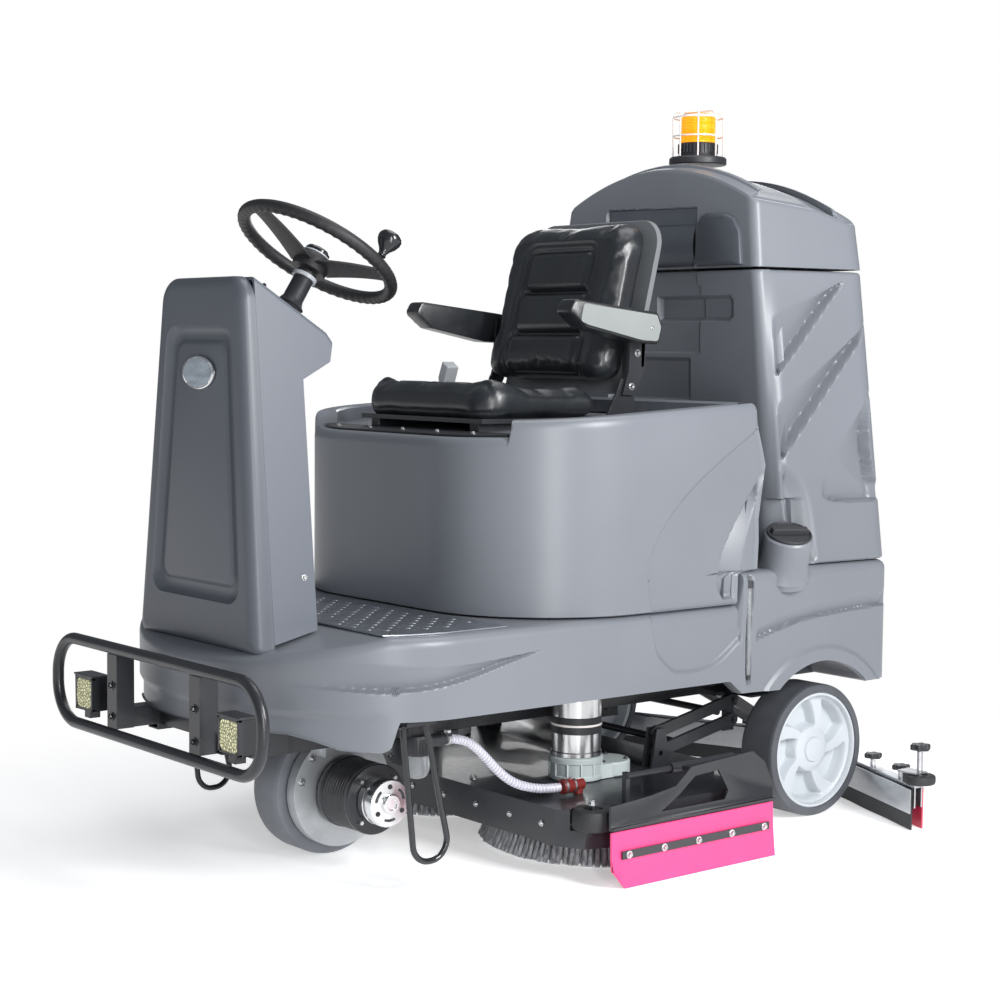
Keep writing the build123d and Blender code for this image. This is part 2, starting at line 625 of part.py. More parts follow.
def make_seat_hood():
    seam = PLATFORM_Z + 1
    outline = [(-500, seam), (STEP_UP_Y - 5, seam), (STEP_UP_Y - 3, 576), (325, 576), (319, 686), (340, 803),
               (307, 894), (305, 935), (-500, 894)]
    shell = hood_solid(0, 480, 1000) & side_plate(outline, -460, 460)
    room = [(-500, 480), (252, 480), (252, 580), (312, 580), (312, 700), (300, 860), (-500, 860)]
    shell -= hood_solid(HOOD_WALL, 480, 1000) & side_plate(room, -455, 455)
    shell -= block(-400, 400, -300, 292, 872, 960)
    shell -= block(-280, 400, -500, -290, 850, 960)
    shell -= block(-300, 300, -240, 240, 850, 880)
    for y0 in HOOD_HINGE_STARTS:
        shell += hood_hinge_rod(y0, y0 + 40, 6)
        shell += block(HOOD_HINGE_X, -457, y0, y0 + 40, HOOD_HINGE_Z + 2, HOOD_HINGE_Z + 16)
        shell -= hood_hinge_rod(y0 - 1, y0 + 41, HOOD_PIN_R + RUNNING_GAP)
    return shell


def hood_hinge_rod(y0, y1, radius):
    """Round bar on the hood's hinge line."""
    return rod((HOOD_HINGE_X, y0, HOOD_HINGE_Z), (HOOD_HINGE_X, y1, HOOD_HINGE_Z), radius)


def make_hinge_pins():
    pins = []
    for y0 in HOOD_HINGE_STARTS:
        pin = hood_hinge_rod(y0 - 16, y0 + 56, HOOD_PIN_R)
        for y1 in (y0 - 16, y0 + 42):
            pin += block(HOOD_HINGE_X - 5, HOOD_HINGE_X + 5, y1, y1 + 14, 470, HOOD_HINGE_Z + 5)
            pin += block(HOOD_HINGE_X - 5, -BODY_HALF_WIDTH, y1, y1 + 14, 470, 500)
        pins.append(pin)
    return pins


def make_seat_pan():
    pan = block(-215, 215, SEAT_Y - 150, 110, 892, 902)
    for x0 in (-190, 160):
        pan += block(x0, x0 + 30, SEAT_Y - 140, 100, 874, 892)
    for side in (1, -1):
        ear = side_plate([(70, 892), (158, 892), (158, 950), (140, 985), (118, 985), (104, 950)], 221, 227)
        joined = block(210, 227, 70, 110, 892, 902)
        ear -= rod((215, *RECLINE_PIVOT), (230, *RECLINE_PIVOT), SEAT_PIN_R + RUNNING_GAP)
        pan += (ear + joined) if side == 1 else flip(ear + joined)
    return pan


def make_seat_cushion():
    outline = [(-266, 905), (-268, 955), (-240, 976), (-60, 958), (40, 966), (62, 950), (62, 903), (-240, 903)]
    cushion = side_plate(outline, -238, 238)
    for notch in both(block(212, 240, 48, 70, 880, 1000)):
        cushion -= notch
    return cushion


def make_belt_buckle():
    outline = [(-252, 905), (-244, 905), (-238, 968), (-224, 1004), (-246, 1018), (-262, 980)]
    return front_plate(outline, -8, 26)


def make_backrest_shell():
    shell = side_plate([(150, 948), (166, 948), (262, 1330), (246, 1336)], -219, 219)
    for side in (1, -1):
        plate = side_plate([(116, 950), (148, 948), (176, 1000), (182, 1118), (140, 1118), (132, 1000)], 229, 236)
        plate += rod((212, *RECLINE_PIVOT), (229, *RECLINE_PIVOT), SEAT_PIN_R)
        plate += block(213, 236, 168, 180, 1010, 1080)
        shell += plate if side == 1 else flip(plate)
    return shell


def make_backrest_cushion():
    return side_plate([(74, 972), (112, 966), (149, 966), (242, 1336), (170, 1322)], -211, 211)


def make_armrest(side):
    arm = side_plate([(-72, 1112), (-66, 1148), (-40, 1150), (176, 1122), (178, 1064), (140, 1058)], 239, 290)
    arm -= rod((230, *ARMREST_PIVOT), (262, *ARMREST_PIVOT), SEAT_PIN_R + RUNNING_GAP)
    return arm if side == 1 else flip(arm)


def make_armrest_pins():
    return both(rod((236, *ARMREST_PIVOT), (260, *ARMREST_PIVOT), SEAT_PIN_R))


# --- Recovery tank ---
TANK_LOW = (TANK_FRONT_Y, 762.0, 440.0, 456.0)
TANK_HIGH = (TANK_FRONT_Y, 747.0, 330.0, 386.0)
LID_LOW = (TANK_FRONT_Y - 2, 747.0, 331.0, 387.0)
LID_HIGH = (TANK_FRONT_Y + 12, 730.0, 296.0, 352.0)


def shrink(section, wall):
    front, rear, half_front, half_rear = section
    return (front + wall, rear - wall, half_front - wall, half_rear - wall)


def make_recovery_tank():
    tank = slant_box(TANK_LOW, TANK_HIGH, TANK_BASE_Z, TANK_TOP_Z)
    low, high = shrink(TANK_LOW, TANK_WALL), shrink(TANK_HIGH, TANK_WALL)
    room = slant_box(low, high, TANK_BASE_Z + TANK_WALL, TANK_TOP_Z + 1)
    room -= neck_rod(-60, 150, 60 + TANK_WALL)
    tank = tank - neck_rod(-60, 150, 60) - room
    socket = pipe((0, 740, 1080), (0, 775, 1080), 30, HOSE_SOCKET_R)
    tank = tank - rod((0, 730, 1080), (0, 770, 1080), HOSE_SOCKET_R) + socket
    for x0 in LID_HINGE_STARTS:
        tank += rod((x0 - 20, *LID_HINGE), (x0 + 60, *LID_HINGE), LID_PIN_R)
        for x1 in (x0 - 20, x0 + 44):
            tank += block(x1, x1 + 16, 747, 766, 1190, 1228) + block(x1, x1 + 16, 752, 762, 1228, 1237)
    return tank


def make_tank_lid():
    low, crown_z = TANK_TOP_Z + LID_GAP, LID_TOP_Z - LID_CROWN_R
    outer = slant_box(LID_LOW, LID_HIGH, low, LID_TOP_Z + 1)
    inner = slant_box(shrink(LID_LOW, TANK_WALL), shrink(LID_HIGH, TANK_WALL), low - 1, LID_TOP_Z - TANK_WALL)
    lid = outer & rod((0, 300, crown_z), (0, 900, crown_z), LID_CROWN_R)
    lid -= inner & rod((0, 300, crown_z), (0, 900, crown_z), LID_CROWN_R - TANK_WALL)
    for x0 in LID_HINGE_STARTS:
        lid += rod((x0 - 2, *LID_HINGE), (x0 + 42, *LID_HINGE), 9)
        lid += block(x0 - 2, x0 + 42, 742, 750, 1232, 1260)
        lid -= rod((x0 - 4, *LID_HINGE), (x0 + 44, *LID_HINGE), LID_PIN_R + RUNNING_GAP)
    return lid


def make_beacon_base():
    base = rod((0, BEACON_Y, 1484.5), (0, BEACON_Y, 1503), 68)
    base += rod((0, BEACON_Y, 1503), (0, BEACON_Y, 1536), 45)
    for z in (1552, 1596):
        base += Pos(0, BEACON_Y, z) * Torus(CAGE_R, CAGE_WIRE_R)
    for k in range(8):
        angle = math.radians(45 * k)
        x, y = CAGE_R * math.cos(angle), BEACON_Y + CAGE_R * math.sin(angle)
        base += rod((x, y, 1503), (x, y, 1610), CAGE_WIRE_R)
        base += rod((x, y, 1610), (0, BEACON_Y, 1610), CAGE_WIRE_R)
    return base


def make_beacon_lens():
    lens = rod((0, BEACON_Y, 1536.5), (0, BEACON_Y, 1602), 44)
    return fillet(lens.edges().filter_by(GeomType.CIRCLE).sort_by(Axis.Z)[-1], 8)


def make_filler_cap():
    cap = neck_rod(NECK_LENGTH + 1, NECK_LENGTH + 7, 44) + neck_rod(NECK_LENGTH - 16, NECK_LENGTH + 1, 38)
    grip = Plane(origin=NECK_MOUTH + NECK_AXIS * 12, z_dir=NECK_AXIS) * Box(64, 12, 12)
    return cap + grip


# --- Inner units and controls ---
def make_battery_pack():
    solids = []
    for x0 in (-308, 4):
        for y0 in (-290, -94):
            solids.append(block(x0, x0 + 304, y0, y0 + 192, 434, 690))
    return solids


def make_vacuum_motor():
    return rod((0, 178, PLATFORM_Z), (0, 178, 600), 58) + rod((0, 178, 600), (0, 178, 660), 44)


def make_sight_tube():
    return rod((455, 289.5, 342), (455, 289.5, 556), 4.5)


def make_accelerator_pedal():
    pedal = side_plate([(-600, 518), (-600, 513), (-496, 541), (-496, 546)], -165, -85)
    hinge = rod((-165, -600, 516), (-85, -600, 516), 5)
    return pedal + hinge


def make_emergency_stop():
    """Mushroom head that stands a full stroke clear of the panel, on a stem through it."""
    return dash_rod(-70, 6, 23, 18) + dash_rod(-70, -16, 6, STOP_STEM_R)


def make_key_switch():
    """Lock barrel through the panel, its flange just above it, and the key's bow."""
    foot = dash_point(70)
    key = dash_rod(70, 0.3, 8, 13) + dash_rod(70, -16, 0.3, KEY_BARREL_R)
    bow = Plane(origin=foot + DASH_NORMAL * 20, z_dir=DASH_NORMAL) * Box(20, 4, 26)
    return key + bow


def build():
    add("chassis_frame", *make_chassis_frame(), *make_hinge_pins())
    add("lower_body", make_lower_body())
    add("floor_plate", make_floor_plate())
    add("column_shell", make_column_shell())
    add("front_cover", make_front_cover())
    add("dash_panel", make_dash_panel())
    add("steering_column", make_steering_column())
    add("bumper_bar", *make_bumper_bar())
    add("work_lights", *make_work_lights())
    add("step_loop", *make_step_loop())
    add("solution_filter", *make_solution_filter())
    add("solution_hose", make_solution_hose())
    add("battery_pack", *make_battery_pack())
    add("recovery_tank", make_recovery_tank())
    add("vacuum_motor", make_vacuum_motor())
    add("sight_tube", make_sight_tube())
    add("tank_lid", make_tank_lid())
    add("beacon_base", make_beacon_base())
    add("beacon_lens", make_beacon_lens())
    add("filler_cap", make_filler_cap())
    add("seat_hood", make_seat_hood())
    add("seat_pan", make_seat_pan())
    add("seat_cushion", make_seat_cushion())
    add("belt_buckle", make_belt_buckle())
    add("backrest_shell", make_backrest_shell(), *make_armrest_pins())
    add("backrest_cushion", make_backrest_cushion())
    add("steering_wheel", make_steering_wheel())
    add("horn_cap", make_horn_cap())
    add("spinner_knob", make_spinner_knob())
    add("accelerator_pedal", make_accelerator_pedal())
    add("emergency_stop", make_emergency_stop())
    add("key_switch", make_key_switch())
    add("steer_fork", make_steer_fork())
    add("drive_motor", *make_drive_motor())
    add("drive_wheel", *make_drive_wheel())
    add("upper_links", link_pair(0, UPPER_TIE))
    add("lower_links", link_pair(LINK_DROP, LOWER_TIE))
    add("deck_plate", make_deck_plate())
    add("brush_drives", *make_brush_drives())
    add("hose_fitting", make_hose_fitting())
    add("squeegee_arm", make_squeegee_arm())
    add("squeegee_channel", *make_squeegee_channel())
    add("squeegee_blades", *make_squeegee_blades())
    add("squeegee_star_nuts", *make_squeegee_star_nuts())
    wheel = make_rear_wheel()
    bracket = make_guard_bracket()
    blade = make_guard_blade()
    for name, side in (("left", 1), ("right", -1)):
        turned = (lambda s: s) if side == 1 else flip
        add(f"rear_wheel_{name}", *[turned(s) for s in wheel])
        add(f"guard_bracket_{name}", *[turned(s) for s in bracket])
        add(f"guard_blade_{name}", turned(blade))
        add(f"armrest_{name}", make_armrest(side))
        add(f"brush_{name}", *make_brush(side))
        add(f"deck_roller_{name}", make_deck_roller(side))
        add(f"squeegee_roller_{name}", make_squeegee_roller(side))
        add(f"squeegee_knob_{name}", make_squeegee_knob(side))


build()
os.makedirs("parts", exist_ok=True)
for name, solids in nodes.items():
    pieces = []
    for shape in solids:
        pieces.extend(shape.solids())
    export_step(pieces[0] if len(pieces) == 1 else Compound(children=pieces), f"parts/{name}.step")
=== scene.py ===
import math

import bmesh
import bpy
import numpy as np
from mathutils import Matrix, Vector


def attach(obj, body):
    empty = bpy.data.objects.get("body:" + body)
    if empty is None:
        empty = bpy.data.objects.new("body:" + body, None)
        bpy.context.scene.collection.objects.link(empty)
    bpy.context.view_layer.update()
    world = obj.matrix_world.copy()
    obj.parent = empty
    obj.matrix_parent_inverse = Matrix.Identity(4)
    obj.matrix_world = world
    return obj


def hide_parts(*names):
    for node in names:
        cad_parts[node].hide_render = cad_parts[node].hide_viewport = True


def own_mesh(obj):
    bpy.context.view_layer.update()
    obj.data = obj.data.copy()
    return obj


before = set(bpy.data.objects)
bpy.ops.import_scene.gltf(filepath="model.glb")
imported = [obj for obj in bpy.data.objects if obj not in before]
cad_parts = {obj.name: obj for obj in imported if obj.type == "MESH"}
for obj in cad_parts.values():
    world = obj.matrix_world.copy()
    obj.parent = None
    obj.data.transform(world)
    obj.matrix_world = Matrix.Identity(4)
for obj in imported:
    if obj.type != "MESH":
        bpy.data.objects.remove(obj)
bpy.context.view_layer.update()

# Everything is in metres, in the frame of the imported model: +Z up, front towards -Y, driver's left +X.
# Outlines are written in millimetres, because that is how the machine is drawn, and turned with MM.
MM = 0.001
TIP = 0.0002                  # radius where a turned solid closes on its axis
UP, ALONG_X, ALONG_Y = (0, 0, 1), (1, 0, 0), (0, 1, 0)

# Places that several pieces share.
REAR_AXLE = (0, 0.554, 0.150)
DRIVE_AXLE = (-0.506, 0.142)  # y and z
FILLER_FOOT, FILLER_MOUTH = Vector((0.432, 0.418, 0.566)), Vector((0.464, 0.401, 0.650))
HOOD_HINGE_X, HOOD_HINGE_Z = -0.468, 0.520
LID_HINGE_Y, LID_HINGE_Z, LID_HINGE_STARTS = 0.757, 1.232, (-0.150, 0.110)
POD_LEAN, POD_LEAN_FROM = 0.0207, 0.474
PANEL_CENTRE, PANEL_NORMAL = Vector((0, -0.707, 1.1436)), Vector((0, 45, 68)).normalized()
SEAT_BACK_X, SEAT_BRACKET_X = 0.213, 0.236
FILTER_AXIS = (0.350, -0.520, 0)
LEVEL_TUBE = (0.455, 0.2895, 0)
BRUSH_X, BRUSH_Y, MOTOR_Y = 0.275, 0.040, -0.042
DECK_ROLLER_X, DECK_ROLLER_Y = 0.525, -0.217
SQUEEGEE_END_X, SQUEEGEE_END_Y, SQUEEGEE_SLOPE = 0.645, 0.640, 0.4035
BEACON_Y, CAGE_R, CAGE_WIRE_R = 0.564, 0.059, 0.0019


# ---------------------------------------------------------------- camera, light, floor
def make_camera():
    azimuth, pitch, roll = (math.radians(v) for v in (50.77, 4.38, 0.54))
    back = Vector((math.sin(azimuth) * math.cos(pitch), -math.cos(azimuth) * math.cos(pitch),
                   math.sin(pitch)))
    right = Vector((math.cos(azimuth), math.sin(azimuth), 0))
    up = right.cross(-back)
    side = right * math.cos(roll) + up * math.sin(roll)
    top = up * math.cos(roll) - right * math.sin(roll)
    camera = bpy.data.objects.new("camera", bpy.data.cameras.new("camera"))
    camera.data.lens = 71.14
    camera.data.sensor_width = 36
    turn = Matrix((side, top, back)).transposed().to_4x4()
    camera.matrix_world = Matrix.Translation((3.379, -2.791, 1.047)) @ turn
    bpy.context.scene.collection.objects.link(camera)
    bpy.context.scene.camera = camera


def area_light(name, place, target, size, power, colour=(1, 1, 1)):
    light = bpy.data.lights.new(name, "AREA")
    light.shape = "RECTANGLE"
    light.size, light.size_y = size
    light.energy = power
    light.color = colour
    lamp = bpy.data.objects.new(name, light)
    lamp.location = place
    lamp.rotation_euler = (Vector(target) - Vector(place)).to_track_quat("-Z", "Y").to_euler()
    bpy.context.scene.collection.objects.link(lamp)


def make_studio():
    area_light("key_side", (3.5, 0.35, 2.2), (0.3, 0.2, 0.7), (1.0, 1.6), 145)
    area_light("strip_corner", (3.3, -1.78, 1.0), (0.4, -0.25, 0.7), (0.26, 2.4), 62)
    area_light("fill_front", (-2.2, -3.4, 2.2), (0, -0.4, 0.6), (2.4, 2.0), 5, (0.86, 0.92, 1.0))
    area_light("top", (0.2, 0.6, 3.6), (0, 0.2, 0.6), (2.2, 2.2), 40)
    area_light("rear", (-2.6, 3.0, 2.0), (0, 0.4, 0.8), (2.0, 2.0), 45)
    world = bpy.data.worlds.new("studio")
    world.use_nodes = True
    nodes, links = world.node_tree.nodes, world.node_tree.links
    seen, lit = nodes["Background"], nodes.new("ShaderNodeBackground")
    seen.inputs["Color"].default_value = (1, 1, 1, 1)
    lit.inputs["Color"].default_value = (0.80, 0.86, 0.95, 1)
    lit.inputs["Strength"].default_value = 0.22
    path, mix = nodes.new("ShaderNodeLightPath"), nodes.new("ShaderNodeMixShader")
    links.new(path.outputs["Is Camera Ray"], mix.inputs[0])
    links.new(lit.outputs[0], mix.inputs[1])
    links.new(seen.outputs[0], mix.inputs[2])
    links.new(mix.outputs[0], nodes["World Output"].inputs["Surface"])
    bpy.context.scene.world = world
    bpy.context.scene.view_settings.view_transform = "Standard"


def make_floor():
    """A white sweep that keeps the soft shadow near the machine and fades into the white backdrop."""
    size, shadow_end, white_from = 14.0, 0.75, 1.55
    corners = [(-size, -size, 0), (size, -size, 0), (size, size, 0), (-size, size, 0)]
    mesh = bpy.data.meshes.new("floor")
    mesh.from_pydata(corners, [], [(0, 1, 2, 3)])
    floor = bpy.data.objects.new("floor", mesh)
    s = Shader("floor_sweep")
    s.link(s.ramp(s.noise(2.0), [(0.3, (0.93, 0.93, 0.94)), (0.7, (0.95, 0.95, 0.95))]), "Base Color")
    s.set("Roughness", 0.9)
    s.set("Emission Color", (1, 1, 1, 1))
    s.set("Emission Strength", 0.42)
    reach = s.nodes.new("ShaderNodeVectorMath")
    reach.operation = "LENGTH"
    s.links.new(s.stretched((1.0, 0.85, 1.0)), reach.inputs[0])
    fade = s.nodes.new("ShaderNodeMapRange")
    fade.interpolation_type = "SMOOTHSTEP"
    fade.inputs["From Min"].default_value = shadow_end
    fade.inputs["From Max"].default_value = white_from
    s.links.new(reach.outputs["Value"], fade.inputs["Value"])
    white, mix = s.nodes.new("ShaderNodeEmission"), s.nodes.new("ShaderNodeMixShader")
    s.links.new(fade.outputs["Result"], mix.inputs[0])
    s.links.new(s.main.outputs[0], mix.inputs[1])
    s.links.new(white.outputs[0], mix.inputs[2])
    s.links.new(mix.outputs[0], s.nodes["Material Output"].inputs["Surface"])
    mesh.materials.append(s.material)
    bpy.context.scene.collection.objects.link(floor)


# ---------------------------------------------------------------- materials
class Shader:
    """Builds one node material step by step."""

    def __init__(self, name):
        self.material = bpy.data.materials.new(name)
        self.material.use_nodes = True
        self.nodes = self.material.node_tree.nodes
        self.links = self.material.node_tree.links
        self.main = self.nodes["Principled BSDF"]
        self.space = self.nodes.new("ShaderNodeTexCoord").outputs["Object"]

    def set(self, socket, value):
        self.main.inputs[socket].default_value = value

    def link(self, output, socket):
        self.links.new(output, self.main.inputs[socket])

    def noise(self, scale, detail=2.0, stretch=None):
        node = self.nodes.new("ShaderNodeTexNoise")
        node.inputs["Scale"].default_value = scale
        node.inputs["Detail"].default_value = detail
        self.links.new(self.stretched(stretch), node.inputs["Vector"])
        return node.outputs["Fac"]

    def stretched(self, stretch):
        if stretch is None:
            return self.space
        node = self.nodes.new("ShaderNodeMapping")
        node.inputs["Scale"].default_value = stretch
        self.links.new(self.space, node.inputs["Vector"])
        return node.outputs["Vector"]

    def cells(self, scale, feature="F1", stretch=None):
        node = self.nodes.new("ShaderNodeTexVoronoi")
        node.feature = feature
        node.inputs["Scale"].default_value = scale
        self.links.new(self.stretched(stretch), node.inputs["Vector"])
        return node.outputs["Distance"]

    def bands(self, direction, scale):
        node = self.nodes.new("ShaderNodeTexWave")
        node.bands_direction = direction
        node.inputs["Scale"].default_value = scale
        self.links.new(self.space, node.inputs["Vector"])
        return node.outputs["Fac"]

    def ramp(self, value, stops):
        node = self.nodes.new("ShaderNodeValToRGB")
        while len(node.color_ramp.elements) < len(stops):
            node.color_ramp.elements.new(0.5)
        for element, (place, colour) in zip(node.color_ramp.elements, stops):
            element.position = place
            element.color = (*colour, 1)
        self.links.new(value, node.inputs["Fac"])
        return node.outputs["Color"]

    def between(self, value, low, high):
        node = self.nodes.new("ShaderNodeMapRange")
        node.inputs["To Min"].default_value = low
        node.inputs["To Max"].default_value = high
        self.links.new(value, node.inputs["Value"])
        return node.outputs["Result"]

    def worn(self, colour, edge, amount):
        """Mixes in a lighter tone along raised edges."""
        geometry = self.nodes.new("ShaderNodeNewGeometry")
        node = self.nodes.new("ShaderNodeMapRange")
        node.inputs["From Min"].default_value = 0.53
        node.inputs["From Max"].default_value = 0.62
        node.inputs["To Max"].default_value = amount
        self.links.new(geometry.outputs["Pointiness"], node.inputs["Value"])
        mix = self.nodes.new("ShaderNodeMix")
        mix.data_type = "RGBA"
        self.links.new(node.outputs["Result"], mix.inputs["Factor"])
        self.links.new(colour, mix.inputs["A"])
        mix.inputs["B"].default_value = (*edge, 1)
        return mix.outputs["Result"]

    def bump(self, height, strength, distance, under=None):
        node = self.nodes.new("ShaderNodeBump")
        node.inputs["Strength"].default_value = strength
        node.inputs["Distance"].default_value = distance
        self.links.new(height, node.inputs["Height"])
        if under is not None:
            self.links.new(under, node.inputs["Normal"])
        return node.outputs["Normal"]


def tint(colour, share):
    return tuple(min(1.0, c * (1 + share)) for c in colour)


def surface(name, colour, rough, metallic=0.0, vary=0.06, grain=None, edge=0.0, coat=0.0, scale=7.0):
    """A worked finish: broad tone changes, uneven gloss, fine grain and lighter edges."""
    s = Shader(name)
    cloud = s.noise(scale, 4.0)
    tone = s.ramp(cloud, [(0.3, tint(colour, -vary)), (0.7, tint(colour, vary))])
    if edge:
        tone = s.worn(tone, tint(colour, 1.2), edge)
    s.link(tone, "Base Color")
    s.link(s.between(s.noise(scale * 9, 3.0), max(0.04, rough - 0.06), min(1.0, rough + 0.06)), "Roughness")
    s.set("Metallic", metallic)
    s.set("Coat Weight", coat)
    if grain:
        size, strength, distance = grain
        s.link(s.bump(s.noise(size, 2.0), strength, distance), "Normal")
    return s.material


def moulded(name, colour, rough=0.36):
    """Rotomoulded polyethylene: pebbled skin over slow waves."""
    s = Shader(name)
    tone = s.ramp(s.noise(3.0, 5.0), [(0.3, tint(colour, -0.05)), (0.7, tint(colour, 0.05))])
    s.link(s.worn(tone, tint(colour, 0.7), 0.35), "Base Color")
    s.link(s.between(s.noise(420, 2.0), rough - 0.05, rough + 0.09), "Roughness")
    pebble = s.bump(s.cells(720), 0.16, 0.00035)
    s.link(s.bump(s.noise(9.0, 2.0), 0.06, 0.004, pebble), "Normal")
    s.set("Specular IOR Level", 0.55)
    return s.material


def grained_vinyl(name, colour):
    """Black seat vinyl: fine leather creases and a broad soft shine."""
    s = Shader(name)
    tone = s.ramp(s.noise(16, 4.0), [(0.3, tint(colour, -0.15)), (0.75, tint(colour, 0.35))])
    s.link(tone, "Base Color")
    s.link(s.between(s.noise(60, 3.0), 0.27, 0.40), "Roughness")
    creases = s.bump(s.cells(420, "DISTANCE_TO_EDGE"), 0.22, 0.0005)
    s.link(s.bump(s.noise(38, 4.0), 0.10, 0.002, creases), "Normal")
    s.set("Coat Weight", 0.25)
    s.set("Coat Roughness", 0.3)
    return s.material


def brushed(name, colour, rough, stretch):
    """Plated or turned metal with fine streaks across the stretched axis."""
    s = Shader(name)
    streak = s.noise(70, 3.0, stretch)
    s.link(s.ramp(streak, [(0.25, tint(colour, -0.12)), (0.75, tint(colour, 0.10))]), "Base Color")
    s.link(s.between(streak, rough - 0.07, rough + 0.10), "Roughness")
    s.link(s.bump(streak, 0.08, 0.0003), "Normal")
    s.set("Metallic", 1.0)
    return s.material


def cast(name, colour, rough=0.5):
    s = Shader(name)
    s.link(s.ramp(s.noise(22, 5.0), [(0.3, tint(colour, -0.12)), (0.7, tint(colour, 0.08))]), "Base Color")
    s.link(s.between(s.noise(160, 3.0), rough - 0.08, rough + 0.12), "Roughness")
    s.link(s.bump(s.noise(520, 3.0), 0.30, 0.0006), "Normal")
    s.set("Metallic", 0.85)
    return s.material


def clear(name, colour, rough=0.08, transmission=0.85, ripple=None, glow=0.0):
    s = Shader(name)
    s.link(s.ramp(s.noise(40, 2.0), [(0.3, tint(colour, -0.05)), (0.7, colour)]), "Base Color")
    s.link(s.between(s.noise(90, 2.0), rough, rough + 0.08), "Roughness")
    s.set("Transmission Weight", transmission)
    s.set("IOR", 1.48)
    if glow:
        s.set("Emission Color", (*colour, 1))
        s.set("Emission Strength", glow)
    if ripple:
        s.link(s.bump(s.bands("Z", ripple), 0.5, 0.002), "Normal")
    return s.material


def bristle_look(name, colour):
    s = Shader(name)
    strands = s.noise(140, 3.0, (1.0, 1.0, 0.06))
    s.link(s.ramp(strands, [(0.3, tint(colour, -0.55)), (0.7, tint(colour, 0.35))]), "Base Color")
    s.link(s.between(strands, 0.5, 0.8), "Roughness")
    s.link(s.bump(strands, 0.9, 0.004), "Normal")
    return s.material


def lamp_cells(name):
    """A lamp face: pale yellow facets with dark seams, faintly lit."""
    s = Shader(name)
    seams = s.cells(150, "DISTANCE_TO_EDGE")
    tone = s.ramp(seams, [(0.02, (0.10, 0.10, 0.05)), (0.25, (0.82, 0.80, 0.48))])
    s.link(tone, "Base Color")
    s.link(tone, "Emission Color")
    s.set("Emission Strength", 0.25)
    s.link(s.between(s.noise(90, 2.0), 0.12, 0.25), "Roughness")
    s.link(s.bump(seams, 0.8, 0.003), "Normal")
    return s.material


GREY = moulded("body_grey", (0.172, 0.184, 0.208))
GREY_DARK = moulded("body_dark", (0.060, 0.068, 0.082), 0.46)
COVER_GREY = moulded("cover_grey", (0.088, 0.098, 0.118), 0.38)
BLACK_PLASTIC = surface("black_plastic", (0.022, 0.023, 0.027), 0.45, grain=(700, 0.12, 0.0003), edge=0.2)
BLACK_GLOSS = surface("black_gloss", (0.014, 0.015, 0.018), 0.22, grain=(260, 0.05, 0.0003), coat=0.3)
BLACK_STEEL = surface("black_powder_coat", (0.020, 0.021, 0.025), 0.34, vary=0.15,
                      grain=(900, 0.16, 0.0003), edge=0.35, coat=0.15)
SHELL_GREY = surface("seat_shell_grey", (0.17, 0.18, 0.19), 0.36, grain=(500, 0.10, 0.0003), edge=0.3)
ARM_GREY = surface("armrest_grey", (0.25, 0.27, 0.265), 0.40, grain=(500, 0.10, 0.0003), edge=0.2)
BUCKLE_GREY = surface("buckle_grey", (0.42, 0.44, 0.46), 0.30, grain=(400, 0.06, 0.0003), edge=0.2)
VINYL = grained_vinyl("seat_vinyl", (0.013, 0.015, 0.018))
GRIP = surface("grip_rubber", (0.016, 0.016, 0.018), 0.52, grain=(650, 0.25, 0.0004), edge=0.15)
ZINC = brushed("zinc_plate", (0.62, 0.63, 0.64), 0.30, (1.0, 0.12, 1.0))
BRIGHT = brushed("turned_steel", (0.78, 0.79, 0.80), 0.20, (1.0, 1.0, 0.10))
ALUMINIUM = brushed("extruded_aluminium", (0.55, 0.56, 0.58), 0.33, (0.08, 1.0, 1.0))
CAST = cast("cast_aluminium", (0.56, 0.58, 0.60))
GEARBOX = surface("gearbox_enamel", (0.42, 0.47, 0.47), 0.35, vary=0.10, grain=(380, 0.18, 0.0005),
                  edge=0.3)
PU_TYRE = surface("polyurethane_tyre", (0.155, 0.165, 0.185), 0.55, vary=0.14, grain=(300, 0.25, 0.0005),
                  scale=14)
TYRE_DARK = surface("rear_tyre", (0.070, 0.075, 0.086), 0.55, vary=0.16, grain=(300, 0.25, 0.0005),
                    scale=14)
RUBBER = surface("dark_rubber", (0.022, 0.023, 0.025), 0.62, vary=0.2, grain=(450, 0.3, 0.0005), scale=18)
RIM = surface("rim_moulding", (0.47, 0.50, 0.53), 0.38, vary=0.04, grain=(520, 0.08, 0.0003))
PINK = surface("pink_blade", (0.87, 0.055, 0.21), 0.40, vary=0.05, grain=(240, 0.08, 0.0003), coat=0.1)
RED_BLADE = surface("red_blade", (0.62, 0.03, 0.08), 0.40, vary=0.08, grain=(240, 0.10, 0.0003))
SIGNAL_RED = surface("signal_red", (0.55, 0.01, 0.012), 0.28, vary=0.06, coat=0.4)
RED_BROWN = surface("coupling_brown", (0.18, 0.018, 0.016), 0.30, vary=0.15, coat=0.2)
BRISTLE = bristle_look("nylon_bristle", (0.42, 0.43, 0.45))
AMBER = clear("amber_lens", (1.0, 0.50, 0.015), 0.12, 0.35, ripple=62, glow=0.30)
CLEAR = clear("clear_plastic", (0.88, 0.91, 0.93), 0.12, 0.8)
HOSE_WALL = clear("hose_wall", (0.78, 0.78, 0.86), 0.22, 0.45)
HOSE_COIL = surface("hose_spiral", (0.62, 0.60, 0.70), 0.35, vary=0.06)
REFLECTOR = surface("lamp_reflector", (0.72, 0.70, 0.42), 0.16, metallic=0.8, vary=0.12, scale=60)
LAMP_FACE = lamp_cells("lamp_face")
WHITE_WIRE = surface("white_wire", (0.82, 0.76, 0.75), 0.35, vary=0.03)
TREAD = brushed("tread_plate", (0.44, 0.46, 0.50), 0.34, (1.0, 0.3, 1.0))
